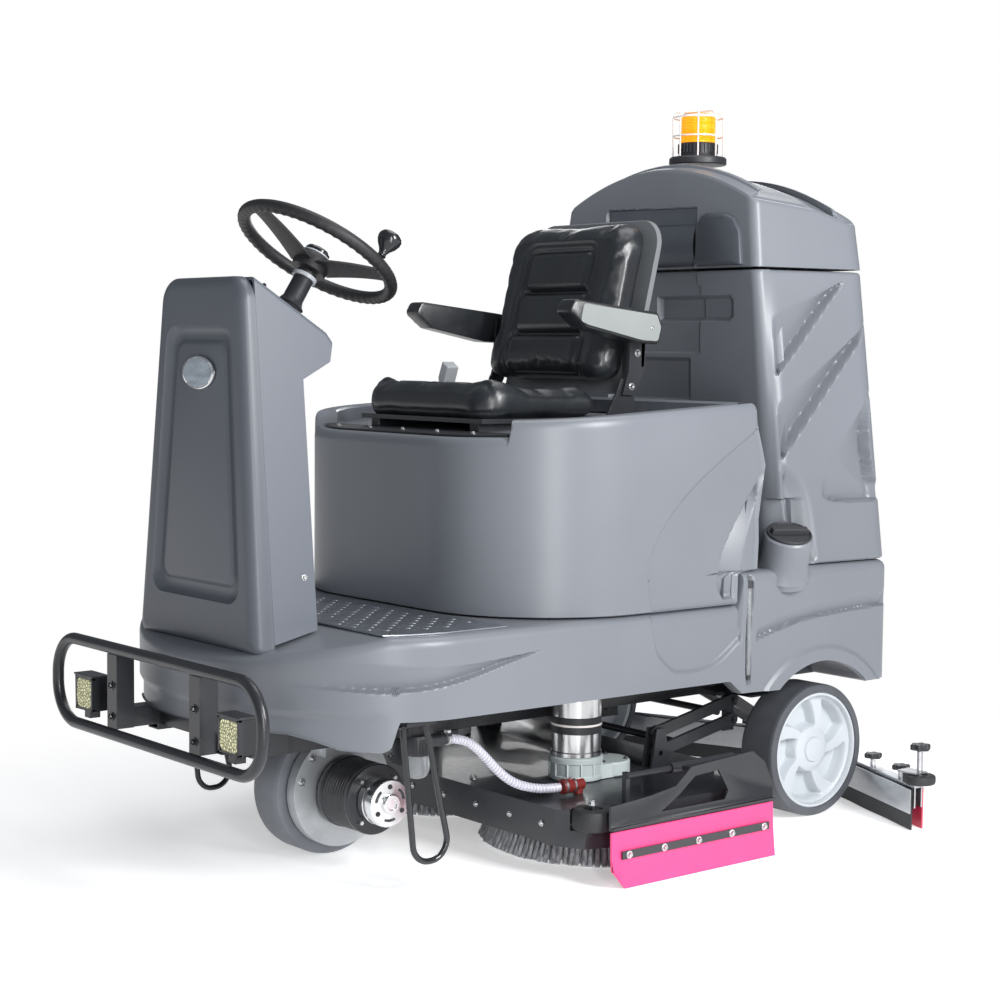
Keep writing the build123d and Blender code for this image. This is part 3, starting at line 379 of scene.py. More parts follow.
BADGE = brushed("badge_plate", (0.62, 0.70, 0.76), 0.25, (0.2, 1.0, 1.0))


# ---------------------------------------------------------------- mesh tools
def place(mesh, name, body, slot, materials, bevel=0.0, replaces=(), angle=35):
    """Turns a mesh into a named piece that rides on a body."""
    piece = bpy.data.objects.new(name, mesh)
    bpy.context.scene.collection.objects.link(piece)
    for look in materials if isinstance(materials, (list, tuple)) else [materials]:
        mesh.materials.append(look)
    mesh.polygons.foreach_set("use_smooth", [True] * len(mesh.polygons))
    mesh.set_sharp_from_angle(angle=math.radians(angle))
    if bevel:
        round_edges(piece, bevel)
    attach(piece, body)
    if replaces:
        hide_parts(*replaces)
    return piece


def round_edges(piece, width):
    """Rounds the sharp edges with a bevel modifier that stays on the piece."""
    modifier = piece.modifiers.new("edges", "BEVEL")
    modifier.width = width
    modifier.segments = 2
    modifier.limit_method = "ANGLE"
    modifier.angle_limit = math.radians(38)
    modifier.use_clamp_overlap = True
    modifier.harden_normals = True


class Kit:
    """Collects shapes into one mesh, each with its own material number."""

    def __init__(self):
        self.points, self.faces, self.looks = [], [], []

    def add(self, points, faces, look=0):
        start = len(self.points)
        self.points.extend(tuple(p) for p in points)
        self.faces.extend(tuple(start + i for i in f) for f in faces)
        self.looks.extend([look] * len(faces))

    def sheet(self, grid, look=0, wrap_u=False, wrap_v=False, caps=False):
        """A grid of points [rows][columns], closed round or capped as asked."""
        rows, columns = len(grid), len(grid[0])
        points = [p for row in grid for p in row]
        faces = []
        for i in range(rows if wrap_u else rows - 1):
            for j in range(columns if wrap_v else columns - 1):
                a, b = i * columns + j, i * columns + (j + 1) % columns
                c, d = ((i + 1) % rows) * columns + (j + 1) % columns, ((i + 1) % rows) * columns + j
                faces.append((a, b, c, d))
        if caps:
            faces.append(tuple(range(columns))[::-1])
            faces.append(tuple((rows - 1) * columns + j for j in range(columns)))
        self.add(points, faces, look)

    def lathe(self, profile, centre, axis, look=0, segments=48, closed=False):
        """Turns (radius, height) pairs about an axis through centre."""
        along = Vector(axis).normalized()
        u = along.orthogonal().normalized()
        v = along.cross(u)
        middle = Vector(centre)
        grid = []
        for radius, height in profile:
            ring = []
            for k in range(segments):
                a = 2 * math.pi * k / segments
                ring.append(middle + along * height + (u * math.cos(a) + v * math.sin(a)) * radius)
            grid.append(ring)
        self.sheet(grid, look, wrap_u=closed, wrap_v=True, caps=not closed)

    def post(self, radius, low, high, foot, axis, look=0, segments=48):
        """A plain round solid between two heights along an axis."""
        self.lathe([(TIP, low), (radius, low), (radius, high), (TIP, high)], foot, axis, look, segments)

    def box(self, low, high, look=0, turn=None):
        (x0, y0, z0), (x1, y1, z1) = low, high
        points = [Vector((x, y, z)) for z in (z0, z1) for y in (y0, y1) for x in (x0, x1)]
        if turn is not None:
            points = [turn @ p for p in points]
        faces = [(0, 2, 3, 1), (4, 5, 7, 6), (0, 1, 5, 4), (2, 6, 7, 3), (0, 4, 6, 2), (1, 3, 7, 5)]
        self.add(points, faces, look)

    def plate(self, outline, low, high, normal="X", look=0):
        """A flat outline with thickness. normal X takes (y, z), Y takes (x, z), Z takes (x, y)."""
        def lift(p, w):
            a, b = p
            return {"X": (w, a, b), "Y": (a, w, b), "Z": (a, b, w)}[normal]
        n = len(outline)
        points = [lift(p, low) for p in outline] + [lift(p, high) for p in outline]
        faces = [tuple(range(n))[::-1], tuple(range(n, 2 * n))]
        faces += [(k, (k + 1) % n, n + (k + 1) % n, n + k) for k in range(n)]
        self.add(points, faces, look)

    def sweep(self, path, radius, look=0, segments=16, closed=False):
        """A round bar along a list of points. radius may be a function of the share of the way along."""
        path = [Vector(p) for p in path]
        count = len(path)
        grid, normal = [], None
        for k, p in enumerate(path):
            if closed:
                tangent = (path[(k + 1) % count] - path[k - 1]).normalized()
            else:
                tangent = (path[min(k + 1, count - 1)] - path[max(k - 1, 0)]).normalized()
            if normal is None:
                normal = tangent.orthogonal().normalized()
            normal = (normal - tangent * normal.dot(tangent)).normalized()
            other = tangent.cross(normal)
            size = radius(k / max(1, count - 1)) if callable(radius) else radius
            ring = []
            for j in range(segments):
                a = 2 * math.pi * j / segments
                ring.append(p + (normal * math.cos(a) + other * math.sin(a)) * size)
            grid.append(ring)
        self.sheet(grid, look, wrap_u=closed, wrap_v=True, caps=not closed)

    def bolt(self, foot, axis, radius, look=0, hexagon=True):
        """A washer, a six-sided or round head, and a dimple in it."""
        along = Vector(axis).normalized()
        washer = [(TIP, 0), (radius * 1.5, 0), (radius * 1.5, radius * 0.25), (TIP, radius * 0.25)]
        self.lathe(washer, foot, axis, look, 20)
        start = Vector(foot) + along * radius * 0.25
        head = [(TIP, 0), (radius, 0), (radius, radius * 0.72), (radius * 0.86, radius * 0.95),
                (radius * 0.5, radius * 0.95), (radius * 0.42, radius * 0.6), (TIP, radius * 0.6)]
        self.lathe(head, start, axis, look, 6 if hexagon else 20)

    def make(self, name, body, slot, materials, bevel=0.0, replaces=(), angle=35):
        mesh = bpy.data.meshes.new(name)
        mesh.from_pydata([tuple(p) for p in self.points], [], self.faces)
        mesh.polygons.foreach_set("material_index", self.looks)
        mesh.update()
        shape = bmesh.new()
        shape.from_mesh(mesh)
        bmesh.ops.remove_doubles(shape, verts=shape.verts, dist=1e-6)
        bmesh.ops.recalc_face_normals(shape, faces=shape.faces)
        shape.to_mesh(mesh)
        shape.free()
        return place(mesh, name, body, slot, materials, bevel, replaces=replaces, angle=angle)


def rounded(points, bend, steps=8, closed=False):
    """Straight runs with arcs at the corners, as points. bend is one radius for every corner."""
    points = [Vector(p) for p in points]
    count = len(points)
    path = [] if closed else [points[0]]
    for k in range(count) if closed else range(1, count - 1):
        before, here, after = points[k - 1], points[k], points[(k + 1) % count]
        a, b = (before - here).normalized(), (after - here).normalized()
        half = a.angle(b) / 2
        reach = bend / math.tan(half)
        start, end = here + a * reach, here + b * reach
        centre = here + (a + b).normalized() * (bend / math.sin(half))
        u, v = start - centre, end - centre
        sweep = u.angle(v)
        for i in range(steps + 1):
            t = i / steps
            path.append(centre + (u * math.sin((1 - t) * sweep) + v * math.sin(t * sweep)) / math.sin(sweep))
    return path if closed else path + [points[-1]]


def dressed(node, body, slot, materials, bevel=0.0012, name=None, angle=30):
    """A CAD node's own shape, cleaned into flat faces and given soft edges, in place of the node."""
    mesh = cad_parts[node].data.copy()
    mesh.materials.clear()
    shape = bmesh.new()
    shape.from_mesh(mesh)
    bmesh.ops.remove_doubles(shape, verts=shape.verts, dist=2e-6)
    bmesh.ops.dissolve_limit(shape, angle_limit=math.radians(0.6), verts=shape.verts, edges=shape.edges)
    bmesh.ops.recalc_face_normals(shape, faces=shape.faces)
    shape.to_mesh(mesh)
    shape.free()
    mesh.polygons.foreach_set("material_index", [0] * len(mesh.polygons))
    return place(mesh, name or node + "_finish", body, slot, materials, bevel, replaces=(node,),
                 angle=angle)


# ---------------------------------------------------------------- relief fields, in a flat side or front view
def to_segments(points, outline, closed):
    """Distance from each point to the nearest segment of an outline."""
    outline = np.asarray(outline, float)
    ends = np.roll(outline, -1, axis=0) if closed else outline[1:]
    starts = outline if closed else outline[:-1]
    best = np.full(len(points), 1e9)
    for a, b in zip(starts, ends):
        run = b - a
        t = np.clip(((points - a) @ run) / max(run @ run, 1e-12), 0, 1)
        best = np.minimum(best, np.hypot(*(points - a - t[:, None] * run).T))
    return best


def inside(points, outline):
    outline = np.asarray(outline, float)
    result = np.zeros(len(points), bool)
    x, y = points.T
    for a, b in zip(outline, np.roll(outline, -1, axis=0)):
        crosses = (a[1] > y) != (b[1] > y)
        with np.errstate(divide="ignore", invalid="ignore"):
            edge = (b[0] - a[0]) * (y - a[1]) / (b[1] - a[1]) + a[0]
        result ^= crosses & (x < edge)
    return result


def step_up(value, width):
    t = np.clip(value / width, 0, 1)
    return t * t * (3 - 2 * t)


def soften(points, steps=6):
    """A smooth open line through a few given points."""
    p = np.asarray(points, float)
    p = np.vstack([2 * p[0] - p[1], p, 2 * p[-1] - p[-2]])
    line = []
    for k in range(1, len(p) - 2):
        for t in np.linspace(0, 1, steps, endpoint=False):
            a, b, c, d = p[k - 1:k + 3]
            line.append(0.5 * (2 * b + (c - a) * t + (2 * a - 5 * b + 4 * c - d) * t * t
                               + (3 * b - a - 3 * c + d) * t ** 3))
    return np.array(line + [p[-2]])


def pocket(points, outline, depth, wall):
    """Flat-floored recess with sloping walls."""
    d = to_segments(points, outline, True)
    return depth * step_up(np.where(inside(points, outline), d, 0), wall)


def valley(points, gentle, steep, depth, wall):
    """Facet that falls slowly away from one line and climbs back sharply to the other."""
    gentle, steep = soften(gentle), soften(steep)
    outline = np.vstack([gentle, steep[::-1]])
    held = inside(points, outline)
    near, far = to_segments(points, gentle, False), to_segments(points, steep, False)
    share = near / np.maximum(near + far, 1e-9)
    edge = to_segments(points, outline, True)
    return np.where(held, depth * share * step_up(far, wall) * step_up(edge, 0.004), 0)


def groove(points, line, depth, half):
    d = to_segments(points, soften(line), False)
    return depth * (1 - step_up(d, half))


def mm(*pairs):
    return [tuple(v * MM for v in p) for p in pairs]


# ---------------------------------------------------------------- moulded shells
def half_loop(front, rear, half_front, half_rear, bend_front, bend_rear, pitch=0.004):
    """Right half of a plan outline, from the middle of the front to the middle of the rear."""
    corners = [(0, front, 0), (half_front, front, 0), (half_rear, rear, 0), (0, rear, 0)]
    nose = rounded(corners[:3], bend_front, 64)[:-1]
    tail = rounded(corners[1:], bend_rear, 8)[1:]
    return even([p[:2] for p in nose + tail], pitch)


def run_along(points):
    """Distance along a line at each of its points."""
    return np.concatenate([[0], np.cumsum(np.hypot(*np.diff(points, axis=0).T))])


def resample(points, count):
    """The same line with evenly spaced points."""
    run = run_along(points)
    stations = np.linspace(0, run[-1], count)
    return np.column_stack([np.interp(stations, run, points[:, i]) for i in range(2)])


def even(points, pitch):
    points = np.array([tuple(p) for p in points], float)
    return resample(points, int(run_along(points)[-1] / pitch) + 1)


def whole(half):
    """A closed plan outline from its right half."""
    return np.vstack([half, half[-2:0:-1] * (-1, 1)])


def outward(half):
    """Outward direction at each point of the right half of a plan outline."""
    run = np.gradient(half, axis=0)
    out = np.column_stack([-run[:, 1], run[:, 0]]) * -1
    out /= np.maximum(np.hypot(*out.T), 1e-9)[:, None]
    out[0], out[-1] = (0, -1), (0, 1)
    return out


def shell(kit, low, high, z_low, z_high, bottom, top, relief, lid, wall=0.022, rows=60, crown=None,
          stretch=None):
    """A hollow moulding between two plan outlines. bottom and top give heights along the outline;
    relief(points, outward) says how far each outer point sinks; lid lists (inset, rise) steps over the edge."""
    out = whole(outward(low))
    low_loop, high_loop = whole(low), whole(high)
    start, end = both_sides(bottom), both_sides(top)

    def ring(z, inset, carve):
        t = ((z - z_low) / (z_high - z_low))[:, None]
        flat = low_loop * (1 - t) + high_loop * t
        if stretch is not None:
            flat = stretch(flat, z)
        points = np.column_stack([flat - out * inset, z])
        if carve:
            points[:, :2] -= out * relief(points, out)[:, None]
        return points

    rise = lid[0][1]
    rings = [ring(end - rise - wall * 0.8, wall, False)]
    for t in np.linspace(0.8, 0.02, 8):
        rings.append(ring(start + (end - rise - start) * t, wall, False))
    rings.append(ring(start, wall * 0.8, False))
    rings.append(ring(start, 0.004, False))
    for t in np.linspace(0.006, 1, rows):
        rings.append(ring(start + (end - rise - start) * t, 0.0, True))
    for inset, height in lid[1:]:
        rings.append(ring(end - rise + height, inset, height < rise * 0.9))
    kit.sheet([[tuple(p) for p in r] for r in rings], wrap_v=True)
    for r in (rings[0], rings[-1]):
        kit.sheet(across(r, len(low), crown if r is rings[-1] else None))


def both_sides(values):
    """Heights along a closed outline from those along its right half."""
    values = np.asarray(values, float)
    return np.concatenate([values, values[-2:0:-1]])


def across(ring, count, crown, steps=18):
    """Rows that join the two halves of a ring, over a crown if there is one."""
    total = len(ring)
    grid = []
    for k in range(count):
        right, left = ring[k], ring[(total - k) % total]
        row = []
        for t in np.linspace(0, 1, steps):
            p = right * (1 - t) + left * t
            if crown is not None:
                p[2] += crown(abs(p[0])) - crown(abs(right[0]))
            row.append(tuple(p))
        grid.append(row)
    return grid


ROUND_EDGE = [(0.0, 0.020), (0.0008, 0.0055), (0.003, 0.0105), (0.0065, 0.0145), (0.0115, 0.0175),
              (0.0165, 0.0192), (0.022, 0.020)]
ARCH_CENTRE, ARCH_R = (0.518, 0.148), 0.214


def side_only(points, out):
    """Weight of the side views: full on the flanks, none on the front and the rear."""
    return step_up(np.abs(out[:, 0]) - 0.45, 0.4)


def body_relief(points, out):
    q = points[:, 1:3]
    depth = valley(q, mm((-777, 474), (-643, 455), (-502, 449), (-354, 456), (-255, 465)),
                   mm((-799, 413), (-643, 401), (-502, 413), (-370, 441), (-255, 465)), 0.020, 0.007)
    depth += valley(q, mm((310, 452), (413, 482), (543, 493), (745, 508)),
                    mm((310, 424), (446, 453), (611, 465), (745, 470)), 0.015, 0.005)
    big = np.vstack([soften(mm((292, 879), (129, 778), (39, 699), (-11, 619), (-9, 537), (7, 442),
                               (28, 405), (80, 373),
                               (183, 380), (267, 430))), mm((272, 700), (292, 879))])
    depth += 0.010 * step_up(np.where(inside(q, big), to_segments(q, big, True), 0), 0.010)
    depth += groove(q, mm((288, 560), (291, 520), (284, 430), (288, 338)), 0.016, 0.010)
    ring = np.hypot(q[:, 0] - ARCH_CENTRE[0], q[:, 1] - ARCH_CENTRE[1]) - ARCH_R
    depth -= 0.007 * (1 - step_up(ring - 0.026, 0.010))
    nose = 0.008 * step_up(0.368 - q[:, 1], 0.02) * step_up(-q[:, 0] - 0.62, 0.12)
    return depth * side_only(points, out) + nose


def make_body():
    half, tail = 0.460, 0.756
    phi = np.linspace(math.pi / 2, 0, 130)
    nose = np.column_stack([half * np.cos(phi), -0.506 - 0.340 * np.sin(phi)])
    rear = [tuple(p[:2]) for p in rounded([(half, -0.45, 0), (half, tail, 0), (0, tail, 0)], 0.045, 10)]
    loop = even(np.vstack([nose, np.array(rear)]), 0.004)
    y = loop[:, 1]
    top = np.interp(y, [-0.86, -0.64, 0.262, 0.266, 0.80], [0.455, 0.506, 0.506, 0.575, 0.575])
    low = np.interp(y, np.array([-860, -775, -745, -712, -650, -636, -622, 230, 268, 800]) * MM,
                    np.array([315, 318, 308, 293, 289, 296, 346, 343, 313, 300]) * MM)
    arch = ARCH_R ** 2 - (y - ARCH_CENTRE[0]) ** 2
    side = loop[:, 0] > 0.44
    low = np.where(side & (arch > 0), np.maximum(low, ARCH_CENTRE[1] + np.sqrt(np.maximum(arch, 0))), low)
    kit = Kit()
    shell(kit, loop, loop, 0.0, 1.0, low, top, body_relief, ROUND_EDGE, wall=0.036)
    kit.make("body_skin", "chassis", "body_plastic", GREY, replaces=("lower_body",))
    make_body_inside()


def make_body_inside():
    """Wheel boxes, sump and sills inside the skin, and the leaning filler neck."""
    kit = Kit()
    for side in (1, -1):
        arc = []
        for a in np.linspace(math.radians(-8), math.radians(188), 40):
            arc.append((ARCH_CENTRE[0] + ARCH_R * math.cos(a),
                        max(0.300, ARCH_CENTRE[1] + ARCH_R * math.sin(a))))
        grid = [[(side * x, y, z) for y, z in arc] for x in (0.300, 0.36, 0.42, 0.452)]
        kit.sheet(grid)
        kit.plate(arc, side * 0.296, side * 0.300, "X")
    kit.box((-0.430, 0.285, 0.366), (0.430, 0.735, 0.374))
    kit.box((-0.295, 0.285, 0.345), (0.295, 0.735, 0.366))
    kit.make("body_sump", "chassis", "body_plastic", GREY_DARK, bevel=0.002)
    kit = Kit()
    length = (FILLER_MOUTH - FILLER_FOOT).length
    outer = [(0.0415, -0.02), (0.0405, 0.03), (0.0405, length - 0.004), (0.0425, length), (0.0500, length),
             (0.0535, length - 0.004),
             (0.0520, 0.03), (0.055, 0.012), (0.062, -0.004), (0.058, -0.02)]
    kit.lathe(outer, FILLER_FOOT, FILLER_MOUTH - FILLER_FOOT, 0, 56, closed=True)
    kit.make("filler_neck", "chassis", "body_plastic", GREY, bevel=0.0)


HOOD_REAR = (np.array([480, 575, 577, 640, 686, 745, 803, 850, 894, 935]) * MM,
             np.array([257, 259, 318, 321, 319, 328, 338, 324, 309, 305]) * MM)


def hood_stretch(flat, z):
    """Moves the rear of the hood to its zigzag edge at each height."""
    rear = np.interp(z, *HOOD_REAR)
    start, end = -0.05, 0.340
    moved = flat.copy()
    t = np.clip((flat[:, 1] - start) / (end - start), 0, 1)
    moved[:, 1] = np.where(flat[:, 1] > start, start + t * (rear - start), flat[:, 1])
    return moved


def hood_relief(points, out):
    q = points[:, 1:3]
    big = np.vstack([soften(mm((292, 879), (129, 778), (39, 699), (-11, 619), (-9, 537), (7, 470))),
                     mm((345, 470), (345, 879))])
    depth = 0.010 * step_up(np.where(inside(q, big), to_segments(q, big[:-2], False), 0), 0.010)
    depth += valley(q, mm((345, 800), (300, 700), (270, 600), (262, 523)),
                    mm((345, 812), (266, 710), (213, 627), (194, 555), (214, 520)), 0.026, 0.008)
    return depth * side_only(points, out)


def make_hood():
    low = half_loop(-0.356, 0.340, 0.460, 0.460, 0.300, 0.016)
    x, y = low.T
    top = 0.894 + (y + 0.5) * 0.051
    dip = step_up(0.348 - x, 0.004) * step_up(-0.225 - y, 0.006)
    kit = Kit()
    lid = ROUND_EDGE[:1] + [(0.0007, 0.006), (0.0035, 0.0135), (0.008, 0.018), (0.014, 0.020),
                            (0.046, 0.020), (0.050, 0.016), (0.052, -0.012)]
    shell(kit, low, low, 0.0, 1.0, np.full(len(low), 0.509), top - 0.034 * dip, hood_relief, lid, rows=96,
          stretch=hood_stretch, wall=0.034)
    kit.make("hood_skin", "hood", "body_plastic", GREY, replaces=("seat_hood",))
    kit = Kit()
    for y0 in (-0.020, 0.170):
        kit.lathe([(0.0031, 0), (0.0058, 0), (0.006, 0.001), (0.006, 0.039), (0.0058, 0.04),
                   (0.0031, 0.04)], (HOOD_HINGE_X, y0, HOOD_HINGE_Z), ALONG_Y, 0, 24, True)
        kit.box((HOOD_HINGE_X, y0, 0.524), (-0.4605, y0 + 0.04, 0.548))
        for z in (0.530, 0.541):
            kit.bolt((HOOD_HINGE_X, y0 + 0.02, z), (-1, 0, 0), 0.003)
    kit.make("hood_hinge_leaves", "hood", "black_steel", BLACK_STEEL, 0.0008)
    kit = Kit()
    edge = [(min(0.322, 0.160 + math.sqrt(0.276 ** 2 - (y + 0.056) ** 2)), y) for y in np.linspace(-0.331,
            -0.252, 12)]
    outline = edge + [(-x, y) for x, y in edge[::-1]]
    ledge = [(x, y, 0.8600 + (y + 0.5) * 0.051) for x, y in outline]
    kit.sheet([ledge, [(x, y, z + 0.0035) for x, y, z in ledge]], 0, wrap_v=True, caps=True)
    for x in (-0.24, -0.12, 0.0, 0.12, 0.24):
        kit.bolt((x, -0.300, 0.8737), UP, 0.0045, 1)
    kit.make("seat_mount_plate", "hood", "black_steel", [BLACK_PLASTIC, ZINC], 0.0008)


def tank_relief(points, out):
    q = points[:, 1:3]
    depth = valley(q, mm((400, 1100), (520, 1150), (670, 1210)), mm((400, 945), (520, 1055), (670, 1210)),
                   0.032, 0.007)
    depth += valley(q, mm((395, 900), (560, 1000), (766, 1140)),
                    mm((395, 770), (450, 815), (600, 965), (766, 1140)), 0.034, 0.007)
    depth += valley(q, mm((774, 1003), (700, 930), (620, 840), (562, 770), (549, 728), (575, 712)),
                    mm((774, 1003), (722, 905), (708, 840), (722, 775), (770, 716), (640, 708), (575, 712)),
                    0.032, 0.007)
    flute = np.vstack([soften(mm((400, 800), (455, 800), (500, 760), (520, 690), (524, 590))),
                       mm((400, 560))])
    depth += 0.024 * step_up(np.where(inside(q, flute), to_segments(q, flute[:-1], False), 0), 0.050)
    depth *= side_only(points, out)
    neck_x, neck_y = (np.interp(points[:, 2], [FILLER_FOOT.z, FILLER_MOUTH.z],
                                [FILLER_FOOT[i], FILLER_MOUTH[i]])
                      for i in (0, 1))
    neck = np.hypot(points[:, 0] - neck_x * np.sign(points[:, 0]), points[:, 1] - neck_y)
    near = (points[:, 0] > 0) & (points[:, 2] < 0.72)
    depth += np.where(near, 0.024 * (1 - step_up(neck - 0.050, 0.060)), 0) * step_up(points[:, 0] - 0.30,
            0.10)
    face = points[:, [0, 2]]
    front = step_up(-out[:, 1] - 0.6, 0.3)
    carved = pocket(face, mm((7, 1113), (250, 1113), (262, 1125), (262, 1160), (250, 1172), (7, 1172)),
                    0.016, 0.008)
    carved += pocket(face, mm((-290, 1249), (144, 1249), (146, 1200), (158, 1190), (158, 1040),
                              (-290, 1040)), 0.008, 0.005)
    carved += pocket(face, mm((-150, 930), (129, 933), (129, 1030), (-150, 1030)), 0.014, 0.006)
    return depth + carved * front


def make_tank():
    low = half_loop(0.424, 0.762, 0.440, 0.456, 0.022, 0.055)
    high = resample(half_loop(0.424, 0.747, 0.330, 0.386, 0.022, 0.050), len(low))
    kit = Kit()
    lid = [(0.0, 0.008), (0.001, 0.004), (0.004, 0.0072), (0.009, 0.008), (0.020, 0.008)]
    shell(kit, low, high, 0.577, 1.228, np.full(len(low), 0.578), np.full(len(low), 1.228), tank_relief,
          lid, rows=150, wall=0.045)
    kit.make("tank_skin", "chassis", "body_plastic", GREY, replaces=("recovery_tank",))
    kit = Kit()
    kit.lathe([(0.0252, -0.02), (0.0252, 0.035), (0.0275, 0.036), (0.030, 0.034), (0.030, 0.006),
               (0.036, 0.0), (0.036, -0.02)], (0, 0.742, 1.080), ALONG_Y, 0, 48, True)
    for x0 in LID_HINGE_STARTS:
        for low_x in (x0 - 0.020, x0 + 0.044):
            kit.box((low_x, 0.745, 1.190), (low_x + 0.016, 0.766, 1.2265))
        kit.lathe([(TIP, 0), (0.0048, 0), (0.005, 0.001), (0.005, 0.079), (0.0048, 0.08), (TIP, 0.08)],
                  (x0 - 0.020, LID_HINGE_Y, LID_HINGE_Z), ALONG_X, 0, 24)
    kit.make("tank_fittings", "chassis", "black_plastic", BLACK_PLASTIC, 0.0012)


LID_CROWN_R, LID_TOP = 0.628, 1.484


def crown(x):
    return LID_TOP - LID_CROWN_R + math.sqrt(LID_CROWN_R ** 2 - min(abs(x), 0.6) ** 2)


def lid_relief(points, out):
    face = points[:, [0, 2]]
    front = step_up(-out[:, 1] - 0.6, 0.3)
    carved = pocket(face, mm((-170, 1236), (136, 1236), (136, 1374), (-170, 1381)), 0.020, 0.006)
    return carved * front


def make_lid():
    low = half_loop(0.422, 0.747, 0.331, 0.387, 0.022, 0.050)
    high = resample(half_loop(0.436, 0.730, 0.296, 0.352, 0.022, 0.045), len(low))
    blend = 0.6
    wide = low[:, 0] * (1 - blend) + high[:, 0] * blend
    top = np.array([crown(x) for x in wide]) - 0.020
    top = np.where(low[:, 1] > 0.60, top - (low[:, 1] - 0.60) * 0.18, top)
    kit = Kit()
    lid = [(0.0, 0.004), (0.003, 0.006), (0.012, 0.0085), (0.028, 0.0125), (0.034, 0.013), (0.036, 0.019),
           (0.039, 0.0205), (0.046, 0.021)]
    shell(kit, low, high, 1.232, LID_TOP, np.full(len(low), 1.2335), top, lid_relief, lid, rows=60,
          crown=crown, wall=0.022)
    kit.make("lid_skin", "lid", "body_plastic", GREY, replaces=("tank_lid",))
    kit = Kit()
    grid = []
    for x in np.linspace(-0.165, 0.131, 12):
        ring = []
        for a in np.linspace(math.radians(-35), math.radians(215), 20):
            ring.append((x, 0.447 - 0.024 * math.cos(a - math.pi / 2),
                         1.288 + 0.052 * math.sin(a - math.pi / 2)))
        grid.append(ring)
    kit.sheet(grid)
    kit.plate(mm((-166, 1338), (132, 1334), (132, 1372), (-166, 1378)), 0.436, 0.441, "Y")
    kit.make("lid_handle", "lid", "body_plastic", COVER_GREY, 0.002)
    kit = Kit()
    outline = mm((147, 1238), (147, 1330), (158, 1350), (178, 1357), (238, 1354), (262, 1342), (282, 1312),
                 (292, 1238))
    base = [(x, 0.4245 + (z - 1.232) * 0.055, z) for x, z in outline]
    middle = [(x, 0.412 + (z - 1.232) * 0.055, z) for x, z in outline]
    inner = [(0.7 * x + 0.3 * 0.222, 0.405 + (z - 1.232) * 0.055, 0.88 * z + 0.12 * 1.29) for x,
             z in outline]
    kit.sheet([base, middle, inner], wrap_v=True)
    kit.add(inner, [tuple(range(len(inner)))])
    kit.make("lid_duct_cover", "lid", "body_plastic", GREY_DARK, 0.004)
    kit = Kit()
    for x0 in LID_HINGE_STARTS:
        kit.lathe([(0.0052, -0.002), (0.0088, -0.002), (0.009, 0), (0.009, 0.040), (0.0088, 0.042),
                   (0.0052, 0.042)], (x0, LID_HINGE_Y, LID_HINGE_Z), ALONG_X, 0, 28, True)
        kit.box((x0 - 0.002, 0.742, 1.236), (x0 + 0.042, 0.752, 1.262))
    kit.make("lid_hinge_barrels", "lid", "black_plastic", BLACK_PLASTIC, 0.001)


# ---------------------------------------------------------------- control pod
def pod_half(z):
    """Half width of the pod at a height."""
    return 0.230 - 0.080 * (z - 0.430) / 0.760


def closed_ring(corners, bends, steps=10):
    """A flat ring through (x, z) corners, each with its own rounding."""
    ring = []
    count = len(corners)
    for k in range(count):
        corner = [Vector((*corners[(k + j) % count], 0)) for j in (-1, 0, 1)]
        ring += [p[:2] for p in rounded(corner, bends[k], steps)[1:-1]]
    return ring


def cover_ring(y, inset):
    """Outline of the front cover at a depth."""
    low, high = 0.459 + inset, 1.181 - inset
    corners = [(-pod_half(low) + inset, low), (pod_half(low) - inset, low),
               (pod_half(high) - inset, high), (-pod_half(high) + inset, high)]
    share = min(1.0, max(0.0, (-0.766 - y) / 0.045))
    top = 0.052 - inset
    ring = closed_ring(corners, [0.014, 0.014, top, top])
    return [(x, y + POD_LEAN * (z - POD_LEAN_FROM) * share, z) for x, z in ring]


def panel_ring(depth, inset):
    """Outline of the sunken panel at a depth behind the cover's face."""
    corners = [(-0.170 + inset, 0.552 + inset), (0.170 - inset, 0.552 + inset),
               (0.121 - inset, 1.088 - inset), (-0.121 + inset, 1.088 - inset)]
    ring = closed_ring(corners, [0.040 - inset * 0.5] * 4)
    return [(x, -0.811 + POD_LEAN * (z - POD_LEAN_FROM) + depth, z) for x, z in ring]


def round_top(mesh, width):
    """Rounds the two long upper corners of the column shell."""
    shape = bmesh.new()
    shape.from_mesh(mesh)
    corners = []
    for edge in shape.edges:
        a, b = edge.verts[0].co, edge.verts[1].co
        middle, run = (a + b) / 2, (a - b).normalized()
        if middle.z > 1.06 and abs(middle.x) > 0.125 and abs(run.y) > 0.5 and edge.is_manifold:
            if edge.calc_face_angle() > math.radians(50):
                corners.append(edge)
    bmesh.ops.bevel(shape, geom=corners, offset=width, segments=6, profile=0.5, affect="EDGES",
                    clamp_overlap=True)
    shape.to_mesh(mesh)
    shape.free()
    mesh.polygons.foreach_set("use_smooth", [True] * len(mesh.polygons))


